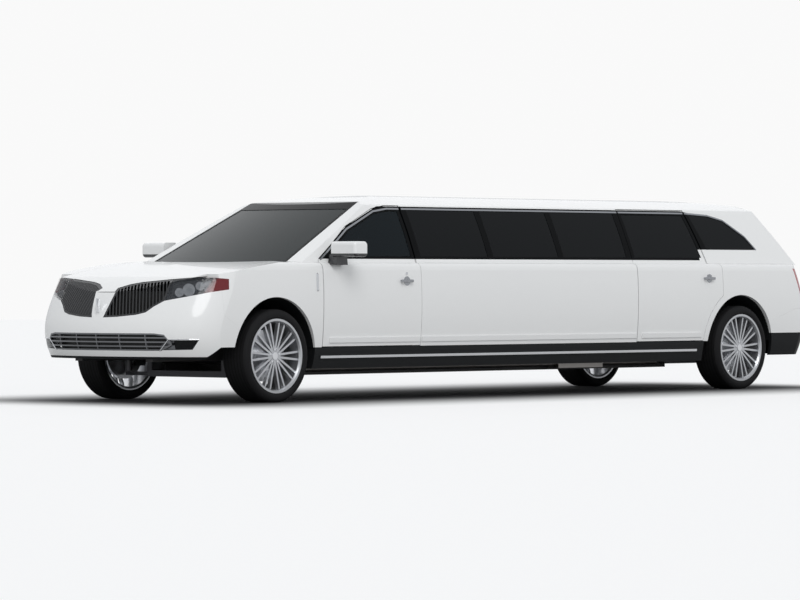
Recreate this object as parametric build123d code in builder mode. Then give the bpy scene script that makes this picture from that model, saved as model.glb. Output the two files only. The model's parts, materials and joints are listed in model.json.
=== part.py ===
from build123d import *
import math
import os

# Frame: +X forward, +Y left, +Z up, millimetres. The origin lies on the ground, midway along the car.

# Overall sizes
BASE_WHEELBASE = 2995.0
STRETCH = 3048.0
FRONT_OVERHANG = 1085.0
REAR_OVERHANG = 1193.0
HALF_WIDTH = 965.0
ROOF_TOP = 1688.0
BELT_Z = 1150.0
SILL_Z = 436.0

WHEELBASE = BASE_WHEELBASE + STRETCH
NOSE_X = (WHEELBASE + FRONT_OVERHANG + REAR_OVERHANG) / 2
TAIL_X = -NOSE_X
FRONT_AXLE = NOSE_X - FRONT_OVERHANG
REAR_AXLE = TAIL_X + REAR_OVERHANG

# Skin and wall thicknesses
SKIN = 30.0
WALL = 90.0
FLANGE = 3.0
POST = 40.0
GLASS = 5.0
GLASS_FIT = 0.3
SEAT_FIT = 0.3

# Gaps between panels
SEAM = 0.6
DOOR_GAP = 6.0
HINGE_GAP = 8.5
POST_GAP = 16.0
INNER_GAP = 11.0
LID_GAP = 8.0

# Bows of the ends in plan, their corner radii, and where the lofted ends join the straight body
NOSE_BOW = 1700.0
NOSE_CORNER = 430.0
TAIL_BOW = 3000.0
TAIL_CORNER = 300.0
NOSE_JOIN = 120.0
TAIL_JOIN = -520.0

# Half section of the lower body, as (half width, height): foot, then an arc up the side, then the brow
SIDE_POINTS = ((903, 250), (931, 400), (955, 820), (944, 1060))
BELT_HALF = 930.0
SHOULDER_DROP = 32.0
SHOULDER_RADIUS = 50.0
# Ends of the lower body: height, half width, how far the end lies inside its furthest point
NOSE_LEVELS = ((240, 912, 115), (400, 940, 38), (580, 958, 0), (760, 963, 50), (920, 962, 130), (1180, 960, 290))
TAIL_LEVELS = ((240, 912, 115), (400, 940, 35), (620, 960, 0), (900, 963, 52), (1180, 956, 195))
# Middle line of the hood from the front axle, as (x, height)
HOOD_LINE = ((1150, 740), (950, 897), (720, 1003), (100, 1100), (-520, 1152))

# Half section of the cabin above the belt
UPPER_FOOT_HALF = 905.0
UPPER_FOOT_Z = 1090.0
UPPER_MID_HALF = 806.0
UPPER_MID_Z = 1353.0
EAVE_HALF = 690.0
EAVE_Z = 1598.0
RAIL_RADIUS = 40.0
ROOF_MID_Y = 360.0
ROOF_MID_DROP = 24.0
# Roof's middle line where it drops, from the front axle and from the rear axle
ROOF_FRONT_LINE = ((-1000, 1565), (-1700, 1664), (-2600, 1690))
ROOF_REAR_LINE = ((600, 1690), (-100, 1676), (-800, 1600))
# Raked glasses on the middle line, as (x, height), and their bows square to the glass
SCREEN_BASE = (-130, 1090)
SCREEN_HEAD = (-1345, 1660)
SCREEN_BOW = 5900.0
REAR_BASE = (-1046, 1090)
REAR_HEAD = (-500, 1680)
REAR_GLASS_BOW = 3550.0

# Side openings, from the front axle or the rear axle
FRONT_SEAM = -552.0
B_SEAM = -1742.0
REAR_DOOR_SEAM = 1463.0
REAR_DOOR_END = 263.0
ARCH_RADIUS = 470.0
DOOR_ARCH_RADIUS = 530.0
GLASS_LOW = 1172.0
GLASS_HIGH = 1566.0
FRAME_TOP = 1592.0
FRAME_FOOT = 1092.0

# Hinges of the doors
HINGE_OVERHANG = 40.0
HINGE_DEPTH = 17.0
HINGE_PIN = 4.0
HINGE_BOSS = 8.0
HINGE_ARM_DEPTH = 51.0
HINGE_ARM_WIDTH = 12.0
HINGE_ARM_HEIGHT = 30.0
HINGE_LUG = 8.0
PIN_FIT = 0.05
HINGE_HEIGHTS = (720.0, 920.0)

# Wheels
TYRE_RADIUS = 372.0
TYRE_WIDTH = 265.0
RIM_RADIUS = 298.0
RIM_WIDTH = 252.0
RIM_WALL = 12.0
RIM_SEAT = RIM_RADIUS - 16.0
HUB_RADIUS = 72.0
SPOKES = 10
TRACK_FRONT = 1656.0
TRACK_REAR = 1651.0
SPINDLE_RADIUS = 26.0
DISC_RADIUS = 205.0
KINGPIN_Y = 722.0
KINGPIN_RADIUS = 11.0


WIDE = (-HALF_WIDTH - 50, HALF_WIDTH + 50)


def front(x):
    """Place along the car, from a distance ahead of the front axle."""
    return FRONT_AXLE + x


def rear(x):
    """Place along the car, from a distance ahead of the rear axle."""
    return REAR_AXLE + x


def plan_section(height, half_width, tip, back, bow, corner):
    """Horizontal section of one end: bowed tip, rounded corners, straight sides back to a square end."""
    way = 1 if tip > back else -1
    turn = math.asin((half_width - corner) / (bow - corner))
    middle = tip - way * bow
    arc_end = (middle + way * bow * math.cos(turn), bow * math.sin(turn))
    side_start = (middle + way * (bow - corner) * math.cos(turn), half_width)
    half_turn = (turn + math.pi / 2) / 2
    corner_mid = (side_start[0] + way * corner * math.cos(half_turn),
                  half_width - corner + corner * math.sin(half_turn))

    def right(point):
        return (point[0], -point[1])

    with BuildSketch(Plane.XY.offset(height)) as section:
        with BuildLine():
            ThreePointArc(right(arc_end), (tip, 0), arc_end)
            ThreePointArc(arc_end, corner_mid, side_start)
            Polyline(side_start, (back, half_width), (back, -half_width), right(side_start))
            ThreePointArc(right(side_start), right(corner_mid), right(arc_end))
        make_face()
    return section.sketch


def end_block(levels, tip, back, bow, corner, inset):
    """Lofted end of the body from rows of (height, half width, how far the tip lies inside)."""
    way = 1 if tip > back else -1
    sections = []
    for height, half_width, tip_in in levels:
        sections.append(plan_section(height, half_width - inset, tip - way * (tip_in + inset), back,
                                     bow - inset, corner - inset))
    with BuildPart() as block:
        loft(sections=sections)
    return block.part


def level_box(x0, x1, y0, y1, z0, z1):
    """Box between two corners."""
    with BuildPart() as block:
        with BuildSketch(Plane.XY.offset(z0)):
            with Locations(((x0 + x1) / 2, (y0 + y1) / 2)):
                Rectangle(abs(x1 - x0), abs(y1 - y0))
        extrude(amount=z1 - z0)
    return block.part


def lower_body(inset, open_top=False):
    """Lower body as one solid, set in from the skin by the inset."""
    top = BELT_Z + 2 * SHOULDER_DROP if open_top else BELT_Z - inset
    brow_half = SIDE_POINTS[-1][0] if open_top else BELT_HALF
    brow = (brow_half - inset, top - SHOULDER_DROP)
    side_foot, side_low, side_mid, side_high = [(half - inset, z) for half, z in SIDE_POINTS]
    with BuildPart() as body:
        with BuildSketch(Plane.YZ.offset(TAIL_X - 50)):
            with BuildLine():
                Line(side_foot, side_low)
                ThreePointArc(side_low, side_mid, side_high)
                Line(side_high, brow)
                ThreePointArc(brow, (brow[0] / 2, top - SHOULDER_DROP / 4), (0, top))
                Polyline((0, top), (0, side_foot[1]), side_foot)
            make_face()
            if not open_top:
                fillet([v for v in vertices() if abs(v.X - brow[0]) < 1 and abs(v.Y - brow[1]) < 1],
                       radius=max(12, SHOULDER_RADIUS - inset))
            mirror(about=Plane.YZ)
        extrude(amount=NOSE_X - TAIL_X + 100)
        nose_back = front(NOSE_JOIN)
        tail_back = rear(TAIL_JOIN)
        nose = end_block(NOSE_LEVELS, NOSE_X, nose_back, NOSE_BOW, NOSE_CORNER, inset)
        add(level_box(nose_back, NOSE_X + 200, *WIDE, 0, 1400) - nose, mode=Mode.SUBTRACT)
        tail = end_block(TAIL_LEVELS, TAIL_X, tail_back, TAIL_BOW, TAIL_CORNER, inset)
        add(level_box(TAIL_X - 200, tail_back, *WIDE, 0, 1400) - tail, mode=Mode.SUBTRACT)
        if not open_top:
            add(above_hood(inset), mode=Mode.SUBTRACT)
    return body.part


def above_hood(inset):
    """Space above the hood, flat across the car."""
    line = [(front(x), z - inset) for x, z in HOOD_LINE]
    with BuildPart() as space:
        with BuildSketch(Plane.XZ.offset(-HALF_WIDTH - 100)):
            with BuildLine():
                ThreePointArc(line[0], line[1], line[2])
                ThreePointArc(line[2], line[3], line[4])
                Polyline(line[4], (line[4][0], 1500), (line[0][0], 1500), line[0])
            make_face()
        extrude(amount=2 * (HALF_WIDTH + 100))
    return space.part


def beyond_glass(base, head, bow, way, inset):
    """Space outside a raked, bowed glass through two points of (x, z): way 1 at the front, -1 at the rear."""
    rise = math.hypot(head[0] - base[0], head[1] - base[1])
    along = ((head[0] - base[0]) / rise, (head[1] - base[1]) / rise)
    reach = 800.0
    plane = Plane(origin=(base[0] - along[0] * reach, 0, base[1] - along[1] * reach), x_dir=(0, 1, 0),
                  z_dir=(along[0], 0, along[1]))
    half = HALF_WIDTH + 50
    edge = way * (bow - math.sqrt(bow ** 2 - half ** 2) + inset)
    with BuildPart() as space:
        with BuildSketch(plane):
            with BuildLine():
                ThreePointArc((-half, edge), (0, way * inset), (half, edge))
                Polyline((half, edge), (half, -way * reach), (-half, -way * reach), (-half, edge))
            make_face()
        extrude(amount=rise + 2 * reach)
    return space.part


def upper_section(inset):
    """Straight run of the cabin's section above the belt."""
    eave = (EAVE_HALF - inset, EAVE_Z)
    foot = (UPPER_FOOT_HALF - inset, UPPER_FOOT_Z)
    top = ROOF_TOP - inset
    with BuildPart() as run:
        with BuildSketch(Plane.YZ.offset(rear(REAR_BASE[0]) - 100)):
            with BuildLine():
                Line((0, foot[1]), foot)
                ThreePointArc(foot, (UPPER_MID_HALF - inset, UPPER_MID_Z), eave)
                ThreePointArc(eave, (ROOF_MID_Y, top - ROOF_MID_DROP), (0, top))
                Line((0, top), (0, foot[1]))
            make_face()
            rail = [v for v in vertices() if abs(v.X - eave[0]) < 1 and abs(v.Y - eave[1]) < 1]
            fillet(rail, radius=max(12, RAIL_RADIUS - inset))
            mirror(about=Plane.YZ)
        extrude(amount=front(SCREEN_BASE[0]) - rear(REAR_BASE[0]) + 200)
    return run.part


def upper_body(inset):
    """Cabin above the belt as one solid, set in from the skin by the inset."""
    with BuildPart() as body:
        add(upper_section(inset))
        add(beyond_glass((front(SCREEN_BASE[0]), SCREEN_BASE[1]), (front(SCREEN_HEAD[0]), SCREEN_HEAD[1]),
                         SCREEN_BOW, 1, inset), mode=Mode.SUBTRACT)
        add(beyond_glass((rear(REAR_BASE[0]), REAR_BASE[1]), (rear(REAR_HEAD[0]), REAR_HEAD[1]),
                         REAR_GLASS_BOW, -1, inset), mode=Mode.SUBTRACT)
        add(under_roof(inset), mode=Mode.INTERSECT)
    return body.part


def under_roof(inset):
    """Space under the roof's middle line, which drops to the windscreen and to the tailgate."""
    nose_line = [(front(x), z - inset) for x, z in ROOF_FRONT_LINE]
    tail_line = [(rear(x), z - inset) for x, z in ROOF_REAR_LINE]
    with BuildPart() as space:
        with BuildSketch(Plane.XZ.offset(-HALF_WIDTH - 100)):
            with BuildLine():
                Polyline((NOSE_X, 1000), (NOSE_X, nose_line[0][1]), nose_line[0])
                ThreePointArc(*nose_line)
                Line(nose_line[-1], tail_line[0])
                ThreePointArc(*tail_line)
                Polyline(tail_line[-1], (TAIL_X, tail_line[-1][1]), (TAIL_X, 1000), (NOSE_X, 1000))
            make_face()
        extrude(amount=2 * (HALF_WIDTH + 100))
    return space.part


CORNER_VIEW = math.radians(48.0)
CORNER_PLANE = Plane(origin=(FRONT_AXLE, 0, 0),
                     x_dir=(-math.cos(CORNER_VIEW), math.sin(CORNER_VIEW), 0),
                     z_dir=(math.sin(CORNER_VIEW), math.cos(CORNER_VIEW), 0))


def outline_prism(plane, points, start, end, grow=0.0):
    """Prism from an outline on a plane, grown or shrunk, between two distances from it."""
    with BuildPart() as prism:
        with BuildSketch(plane.offset(start)):
            with BuildLine():
                Polyline(*points, close=True)
            make_face()
            if grow != 0:
                offset(amount=grow, kind=Kind.INTERSECTION)
        extrude(amount=end - start)
    return prism.part


def side_prism(points, grow=0.0, inner=450.0):
    """Prism through the left side, from a side-view outline of (x, z)."""
    return outline_prism(Plane.XZ, points, -HALF_WIDTH - 100, -inner, grow)


def rear_prism(points, x0, x1, grow=0.0):
    """Prism along the car, from a rear-view outline of (y, z)."""
    return outline_prism(Plane.YZ, points, x0, x1, grow)


def corner_prism(points, grow=0.0, start=100.0):
    """Prism through the left front corner, from an outline of (across, z) seen 48 degrees off the side."""
    return outline_prism(CORNER_PLANE, points, start, 2000, grow)


def upright(x, y, z0, z1, radius):
    """Upright cylinder."""
    with BuildPart() as rod:
        with BuildSketch(Plane.XY.offset(z0)):
            with Locations((x, y)):
                Circle(radius)
        extrude(amount=z1 - z0)
    return rod.part


def crosswise(x, z, y0, y1, radius):
    """Cylinder along the width."""
    with BuildPart() as rod:
        with BuildSketch(Plane.XZ.offset(-y0)):
            with Locations((x, z)):
                Circle(radius)
        extrude(amount=-(y1 - y0))
    return rod.part


def largest(part):
    """Largest solid of a part, without the slivers that cuts leave."""
    return part.solids().sort_by(SortBy.VOLUME)[-1]


def carve(whole, keep, *cuts):
    """What a region keeps of a solid, less the cuts."""
    with BuildPart() as piece:
        add(whole)
        add(keep, mode=Mode.INTERSECT)
        for cut in cuts:
            add(cut, mode=Mode.SUBTRACT)
    return piece.part


def both_sides(part):
    """A left piece and its mirror image, as one part."""
    with BuildPart() as pair:
        add(part)
        add(mirror(part, about=Plane.XZ))
    return pair.part


def right_of(part):
    """Mirror image of a left piece."""
    with BuildPart() as piece:
        add(mirror(part, about=Plane.XZ))
    return piece.part


SKIN_LOWER = lower_body(0)
FLANGE_LOWER = lower_body(FLANGE)
SKIN_INNER = lower_body(SKIN)
WALL_INNER = lower_body(WALL, open_top=True)
SKIN_UPPER = upper_body(0)
POST_INNER = upper_body(POST)
SIDE_CORE = upper_section(POST + 20)
SKIN_CLEAR = lower_body(-SEAT_FIT)
GLASS_OUTER = upper_body(3)
GLASS_INNER = upper_body(3 + GLASS)
with BuildPart() as cabin_space:
    add(lower_body(WALL + SEAT_FIT, open_top=True))
    add(level_box(TAIL_X, NOSE_X, *WIDE, 0, UPPER_FOOT_Z + 5), mode=Mode.INTERSECT)
    add(upper_body(POST + SEAT_FIT))

FRONT_ARCH = crosswise(front(0), TYRE_RADIUS, -1100, 1100, ARCH_RADIUS)
REAR_ARCH = crosswise(rear(0), TYRE_RADIUS, -1100, 1100, ARCH_RADIUS)
DOOR_ARCH = crosswise(rear(0), TYRE_RADIUS, -1100, 1100, DOOR_ARCH_RADIUS)

# Doors: hinge axis and edges, left side
FRONT_HINGE = front(FRONT_SEAM) + HINGE_GAP / 2 + HINGE_OVERHANG
REAR_HINGE = rear(REAR_DOOR_SEAM) + HINGE_GAP / 2 + HINGE_OVERHANG
HINGE_Y = HALF_WIDTH - 10 - HINGE_DEPTH
PILLAR_SET = 12.0
SIDE_INNER = 860.0

# Front end seen from the corner: (across, height) points of the wing grille and the headlamp
WING_TOP = ((-664, 682), (-551, 915), (-450, 945), (-354, 962), (-102, 986.5))
WING_LOW = ((-167, 815), (-250, 770), (-317, 723), (-395, 704), (-545, 688))
LAMP = ((-102, 986.5), (34, 997), (229, 995), (340, 986), (342, 904), (183, 881), (40, 853), (-167, 815))
HOOD_EDGE = ((-1400, 885), (-575, 885), (-551, 915), (-450, 945), (-354, 962), (-102, 986.5), (34, 997),
             (200, 1010), (900, 1010), (900, 1400), (-1400, 1400))
LEFT_HALF = level_box(TAIL_X - 200, NOSE_X + 200, 0, HALF_WIDTH + 200, 0, 2000)
FACE_SEAM = 0.8
HOOD_GAP = 5.0
HOOD_REAR = -110.0
COWL_BOW = 2500.0
HOOD_SIDE_FRONT = (900.0, 712.0)
HOOD_SIDE_REAR = (-250.0, 800.0)

wing_zone = corner_prism(WING_TOP + WING_LOW) & LEFT_HALF
lamp_zone = corner_prism(LAMP) & LEFT_HALF
face_zone = corner_prism(WING_TOP[:-1] + LAMP + WING_LOW[1:], FACE_SEAM) & LEFT_HALF


def hood_zone(grow):
    """Region of the hood: inside its plan outline and above the line of the lamps and grille."""
    side_front = (front(HOOD_SIDE_FRONT[0]) + 500, HOOD_SIDE_FRONT[1] + grow)
    side_rear = (front(HOOD_SIDE_REAR[0]), HOOD_SIDE_REAR[1] + grow)
    rear_middle = (front(HOOD_REAR) - grow, 0)
    rear_corner = (rear_middle[0] - side_rear[1] ** 2 / (2 * COWL_BOW), side_rear[1])
    near = corner_prism(HOOD_EDGE, grow, -1500) & LEFT_HALF
    both = near + mirror(near, about=Plane.XZ)
    with BuildPart() as zone:
        with BuildSketch(Plane.XY.offset(600)):
            with BuildLine():
                ThreePointArc((rear_corner[0], -rear_corner[1]), rear_middle, rear_corner)
                Polyline(rear_corner, side_front, (side_front[0], -side_front[1]),
                         (rear_corner[0], -rear_corner[1]))
            make_face()
        extrude(amount=800)
        add(both, mode=Mode.INTERSECT)
    return zone.part


def hinge_pins(axis_x):
    """Pins between lugs on the pillar that carries the door."""
    reach = HINGE_ARM_HEIGHT / 2 + 0.5
    with BuildPart() as pins:
        for height in HINGE_HEIGHTS:
            add(upright(axis_x, HINGE_Y, height - reach - HINGE_LUG, height + reach + HINGE_LUG, HINGE_PIN))
            for z0 in (height - reach - HINGE_LUG, height + reach):
                add(level_box(axis_x - HINGE_PIN, axis_x + PILLAR_SET, HINGE_Y - 7, HINGE_Y + 7, z0, z0 + HINGE_LUG))
    return pins.part


# Fixed skin of the front end
FENDER = ((front(600), 1250), (front(600), 700), (front(430), 610), (front(430), 300),
          (FRONT_HINGE + PILLAR_SET, 300), (FRONT_HINGE + PILLAR_SET, 1250))
hood_opening = hood_zone(HOOD_GAP)
fender_edge = front(FRONT_SEAM) + HINGE_GAP / 2
door_front = front(FRONT_SEAM) - HINGE_GAP / 2
above_sill = level_box(TAIL_X, NOSE_X, 0, 1200, SILL_Z, 1300)

# Recess behind the hood's rear edge, which swings back over the cowl as it opens
cowl_recess = level_box(front(-318), front(0), -806, 806, 1000, 1300)
fender_left = carve(SKIN_LOWER, side_prism(FENDER) & above_sill, SKIN_INNER, FRONT_ARCH, hood_opening, face_zone,
                    cowl_recess)
fender_post = carve(SKIN_LOWER, level_box(FRONT_HINGE + PILLAR_SET, FRONT_HINGE + PILLAR_SET + 40, 450, 1000, SILL_Z, 1300),
                    WALL_INNER, FRONT_ARCH)
fender_flange = carve(SKIN_LOWER, level_box(fender_edge, FRONT_HINGE + PILLAR_SET, SIDE_INNER, 1000, SILL_Z, 1300), FLANGE_LOWER)
with BuildPart() as front_fenders:
    add(both_sides(fender_left))
    add(both_sides(fender_post))
    add(both_sides(fender_flange))
    add(both_sides(hinge_pins(FRONT_HINGE)))

# Cowl plate under the windscreen's foot, slotted for the hood's arms
HOOD_ARM_Y = 640.0
with BuildPart() as cowl_plate:
    add(level_box(front(-500), front(-50), -799, 799, 1080, 1092))
    add(hood_opening, mode=Mode.SUBTRACT)
    for end in (1, -1):
        add(level_box(front(-275), front(-100), end * HOOD_ARM_Y - 20, end * HOOD_ARM_Y + 20, 1000, 1200),
            mode=Mode.SUBTRACT)
    add(SKIN_INNER, mode=Mode.INTERSECT)
with BuildPart() as cowl_panel:
    add(largest(cowl_plate.part))

# Nose: bumper skin with its openings, grille pieces and lamps
LOWER_GRILLE = ((-700, 470), (-640, 548), (-560, 558), (560, 558), (640, 548), (700, 470), (600, 420), (-600, 420))
FOG_POCKET = ((-210, 425), (-190, 470), (-130, 505), (110, 505), (60, 430))
BUMPER = ((NOSE_X + 100, 352), (NOSE_X + 100, 1000), (front(600) + FACE_SEAM, 1000), (front(600) + FACE_SEAM, 700),
          (front(430) + FACE_SEAM, 610), (front(430) + FACE_SEAM, 447), (front(620), 447), (front(740), 352))
bumper_zone = side_prism(BUMPER, inner=-HALF_WIDTH - 100)
grille_zone = rear_prism(LOWER_GRILLE, front(700), NOSE_X + 100)
fog_zone = corner_prism(FOG_POCKET) & LEFT_HALF
bumper_skin = carve(SKIN_LOWER, bumper_zone, SKIN_INNER, hood_opening, both_sides(face_zone), FRONT_ARCH,
                    grille_zone, both_sides(fog_zone))
with BuildPart() as front_bumper:
    add(largest(bumper_skin))

grille_shell = carve(FLANGE_LOWER, level_box(front(500), NOSE_X + 100, -1000, 1000, 300, 700), SKIN_INNER)
SLAT_PITCH = 34.0
SLAT_HEIGHT = 11.0
with BuildPart() as lower_grille:
    with BuildSketch(Plane.YZ.offset(front(700))):
        with BuildLine():
            Polyline(*LOWER_GRILLE, close=True)
        make_face()
        offset(amount=-FACE_SEAM, kind=Kind.INTERSECTION)
        with BuildSketch(mode=Mode.PRIVATE) as inside:
            with BuildLine():
                Polyline(*LOWER_GRILLE, close=True)
            make_face()
            offset(amount=-12, kind=Kind.INTERSECTION)
            with Locations((0, 489)):
                with GridLocations(0, SLAT_PITCH, 1, 5):
                    Rectangle(1500, SLAT_HEIGHT, mode=Mode.SUBTRACT)
            with GridLocations(240, 0, 7, 1):
                Rectangle(8, 2000, mode=Mode.SUBTRACT)
        add(inside.sketch, mode=Mode.SUBTRACT)
    extrude(amount=600)
    add(grille_shell, mode=Mode.INTERSECT)
    add(carve(SKIN_INNER, both_sides(corner_prism(FOG_POCKET, -2) & LEFT_HALF), lower_body(SKIN + 12)))

wing_shell = carve(FLANGE_LOWER, level_box(front(300), NOSE_X + 100, 0, 1000, 600, 1100), SKIN_INNER)
WING_BAR_PITCH = 27.0
with BuildPart() as wing:
    with BuildSketch(CORNER_PLANE.offset(100)):
        with BuildLine():
            Polyline(*(WING_TOP + WING_LOW), close=True)
        make_face()
        with BuildSketch(mode=Mode.PRIVATE) as gaps:
            with BuildLine():
                Polyline(*(WING_TOP + WING_LOW), close=True)
            make_face()
            offset(amount=-13, kind=Kind.INTERSECTION)
            with Locations((-380, 830)):
                with GridLocations(WING_BAR_PITCH, 0, 24, 1):
                    Rectangle(9, 600, mode=Mode.SUBTRACT)
        add(gaps.sketch, mode=Mode.SUBTRACT)
    extrude(amount=1900)
    add(wing_shell, mode=Mode.INTERSECT)
    add(LEFT_HALF, mode=Mode.INTERSECT)
with BuildPart() as grille_wings:
    add(both_sides(wing.part))
with BuildPart() as headlamps:
    add(both_sides(carve(SKIN_LOWER, lamp_zone, SKIN_INNER)))

# Hood, with its hinge arms at the cowl
HOOD_PIN = (front(-245), 1048.0)
HOOD_ARM_WIDTH = 24.0
HOOD_PIN_RADIUS = 7.0
HOOD_BOSS = 15.0


def hood_arm(side):
    """Strap from the hood's underside down and back to its pin."""
    y0 = side * HOOD_ARM_Y - HOOD_ARM_WIDTH / 2
    with BuildPart() as arm:
        with BuildSketch(Plane.XZ.offset(-y0)):
            with BuildLine():
                Polyline((HOOD_PIN[0], HOOD_PIN[1] - HOOD_BOSS), (front(-90), HOOD_PIN[1] - 5), (front(-90), 1100),
                         (front(-180), 1105), (front(-200), 1080), (HOOD_PIN[0], HOOD_PIN[1] + HOOD_BOSS), close=True)
            make_face()
            with Locations(HOOD_PIN):
                Circle(HOOD_BOSS)
                Circle(HOOD_PIN_RADIUS + PIN_FIT, mode=Mode.SUBTRACT)
        extrude(amount=-HOOD_ARM_WIDTH)
    return arm.part


hood_skin = largest(carve(SKIN_LOWER, hood_zone(0), SKIN_INNER))
with BuildPart() as hood:
    add(hood_skin)
    for end in (1, -1):
        add(hood_arm(end))

# Cabin bulkhead with the cowl shelf and the hood's hinge pins
CABIN_HALF = HALF_WIDTH - 10 - WALL
BULKHEAD_X = front(-506)
with BuildPart() as bulkhead:
    add(level_box(BULKHEAD_X, BULKHEAD_X + 25, -CABIN_HALF + 20, CABIN_HALF - 20, 300, 1020))
    add(level_box(BULKHEAD_X, front(-190), -CABIN_HALF + 20, CABIN_HALF - 20, 1008, 1020))
    for end in (1, -1):
        y = end * HOOD_ARM_Y
        add(crosswise(HOOD_PIN[0], HOOD_PIN[1], y - 26, y + 26, HOOD_PIN_RADIUS))
        for lug in (y - 26, y + 16):
            add(level_box(HOOD_PIN[0] - 12, HOOD_PIN[0] + 12, lug, lug + 10, 1015, HOOD_PIN[1] + 10))

# Side openings in the upper body: door frames and windows
FRAME_WIDTH = 44.0
FRONT_FRAME = ((front(FRONT_SEAM), FRAME_FOOT), (front(FRONT_SEAM), 1135), (front(-990), 1414), (front(-1390), 1566), (front(-1560), FRAME_TOP),
               (front(B_SEAM), FRAME_TOP), (front(B_SEAM), FRAME_FOOT))
REAR_FRAME = ((rear(REAR_DOOR_SEAM), FRAME_FOOT), (rear(REAR_DOOR_SEAM), FRAME_TOP), (rear(525), FRAME_TOP),
              (rear(413), FRAME_FOOT))
QUARTER_WINDOW = ((rear(375), 1255), (rear(475), 1566), (rear(203), 1548), (rear(3), 1507), (rear(-237), 1363),
                  (rear(-339), 1250))
STRETCH_WINDOWS = 3
WINDOW_POST = 70.0
stretch_start = rear(REAR_DOOR_SEAM) + WINDOW_POST
stretch_end = front(B_SEAM) - WINDOW_POST
pane_length = (stretch_end - stretch_start - (STRETCH_WINDOWS - 1) * WINDOW_POST) / STRETCH_WINDOWS


def pane_outline(index):
    """Side outline of one window of the stretch, counted from the rear."""
    x0 = stretch_start + index * (pane_length + WINDOW_POST)
    return ((x0, GLASS_LOW), (x0 + pane_length, GLASS_LOW), (x0 + pane_length, GLASS_HIGH), (x0, GLASS_HIGH))


def door_frame(points):
    """Door's outline above the belt, clear of the opening and further clear at its trailing post."""
    shifted = side_prism([(x + POST_GAP - DOOR_GAP / 2, z) for x, z in points], -DOOR_GAP / 2)
    return (side_prism(points, -DOOR_GAP / 2) & shifted) - SIDE_CORE


def window_shape(points, shrink):
    """Window cut in a door frame, flat at the belt line."""
    above = level_box(TAIL_X, NOSE_X, 0, 1200, GLASS_LOW + shrink - FRAME_WIDTH, 2000)
    return side_prism([(x + (POST_GAP - DOOR_GAP) / 2, z) for x, z in points], -shrink - DOOR_GAP / 2) & above


SCREEN = ((-745, 1096), (-738, 1118), (-600, 1562), (600, 1562), (738, 1118), (745, 1096))
REAR_GLASS = ((-600, 1235), (-500, 1560), (500, 1560), (600, 1235))
GATE = ((-590, 1700), (-690, 1230), (-745, 1000), (-745, 735), (745, 735), (745, 1000), (690, 1230), (590, 1700))
GATE_FRONT = rear(-478)
GATE_WALL = 60.0
GATE_PIN = (GATE_FRONT + HINGE_GAP + 32, 1632.8)
GATE_ARM_Y = 200.0
screen_cut = rear_prism(SCREEN, front(-1330), front(0))
GATE_GAP = 6.0
gate_opening = rear_prism(GATE, TAIL_X - 100, GATE_FRONT + HINGE_GAP, GATE_GAP)
gate_zone = rear_prism(GATE, TAIL_X - 100, GATE_FRONT)

with BuildPart() as roof_frame:
    add(SKIN_UPPER)
    add(POST_INNER, mode=Mode.SUBTRACT)
    add(SKIN_CLEAR, mode=Mode.SUBTRACT)
    add(screen_cut, mode=Mode.SUBTRACT)
    add(gate_opening, mode=Mode.SUBTRACT)
    for outline in (FRONT_FRAME, REAR_FRAME):
        add(both_sides(side_prism(outline, DOOR_GAP / 2) - SIDE_CORE), mode=Mode.SUBTRACT)
    add(both_sides(side_prism(QUARTER_WINDOW)), mode=Mode.SUBTRACT)
    for pane in range(STRETCH_WINDOWS):
        add(both_sides(side_prism(pane_outline(pane))), mode=Mode.SUBTRACT)
    add(level_box(TAIL_X, NOSE_X, *WIDE, 1000, 1110), mode=Mode.SUBTRACT)
    for end in (1, -1):
        y = end * GATE_ARM_Y
        add(level_box(GATE_FRONT, GATE_PIN[0] + PILLAR_SET, y - 22, y + 22, 1500, 1700) & GLASS_OUTER,
            mode=Mode.SUBTRACT)
        add(crosswise(*GATE_PIN, y - 30, y + 30, HINGE_PIN))

glass_shell = GLASS_OUTER - GLASS_INNER
with BuildPart() as windshield:
    add(glass_shell)
    add(rear_prism(SCREEN, front(-1330), front(0), -GLASS_FIT), mode=Mode.INTERSECT)
    add(SKIN_CLEAR - cowl_recess, mode=Mode.SUBTRACT)
with BuildPart() as side_glass:
    add(both_sides(carve(glass_shell, side_prism(QUARTER_WINDOW, -GLASS_FIT))))
    for pane in range(STRETCH_WINDOWS):
        add(both_sides(carve(glass_shell, side_prism(pane_outline(pane), -GLASS_FIT))))

# Doors, left side; the right ones are their mirror images
above_door_sill = level_box(TAIL_X, NOSE_X, 0, 1200, SILL_Z + DOOR_GAP, 1300)


def hinge_arms(axis_x, door_edge):
    """Goose-neck arms from the door's front face to the hinge pins."""
    y0 = HINGE_Y - HINGE_ARM_DEPTH
    half = HINGE_ARM_WIDTH / 2
    with BuildPart() as arms:
        for height in HINGE_HEIGHTS:
            z0 = height - HINGE_ARM_HEIGHT / 2
            z1 = height + HINGE_ARM_HEIGHT / 2
            add(level_box(axis_x - half, axis_x + half, y0, HINGE_Y, z0, z1))
            add(level_box(door_edge - 5, axis_x + half, y0, y0 + HINGE_ARM_WIDTH, z0, z1))
            add(upright(axis_x, HINGE_Y, z0, z1, HINGE_BOSS))
            add(upright(axis_x, HINGE_Y, z0 - 1, z1 + 1, HINGE_PIN + PIN_FIT), mode=Mode.SUBTRACT)
    return arms.part


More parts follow.
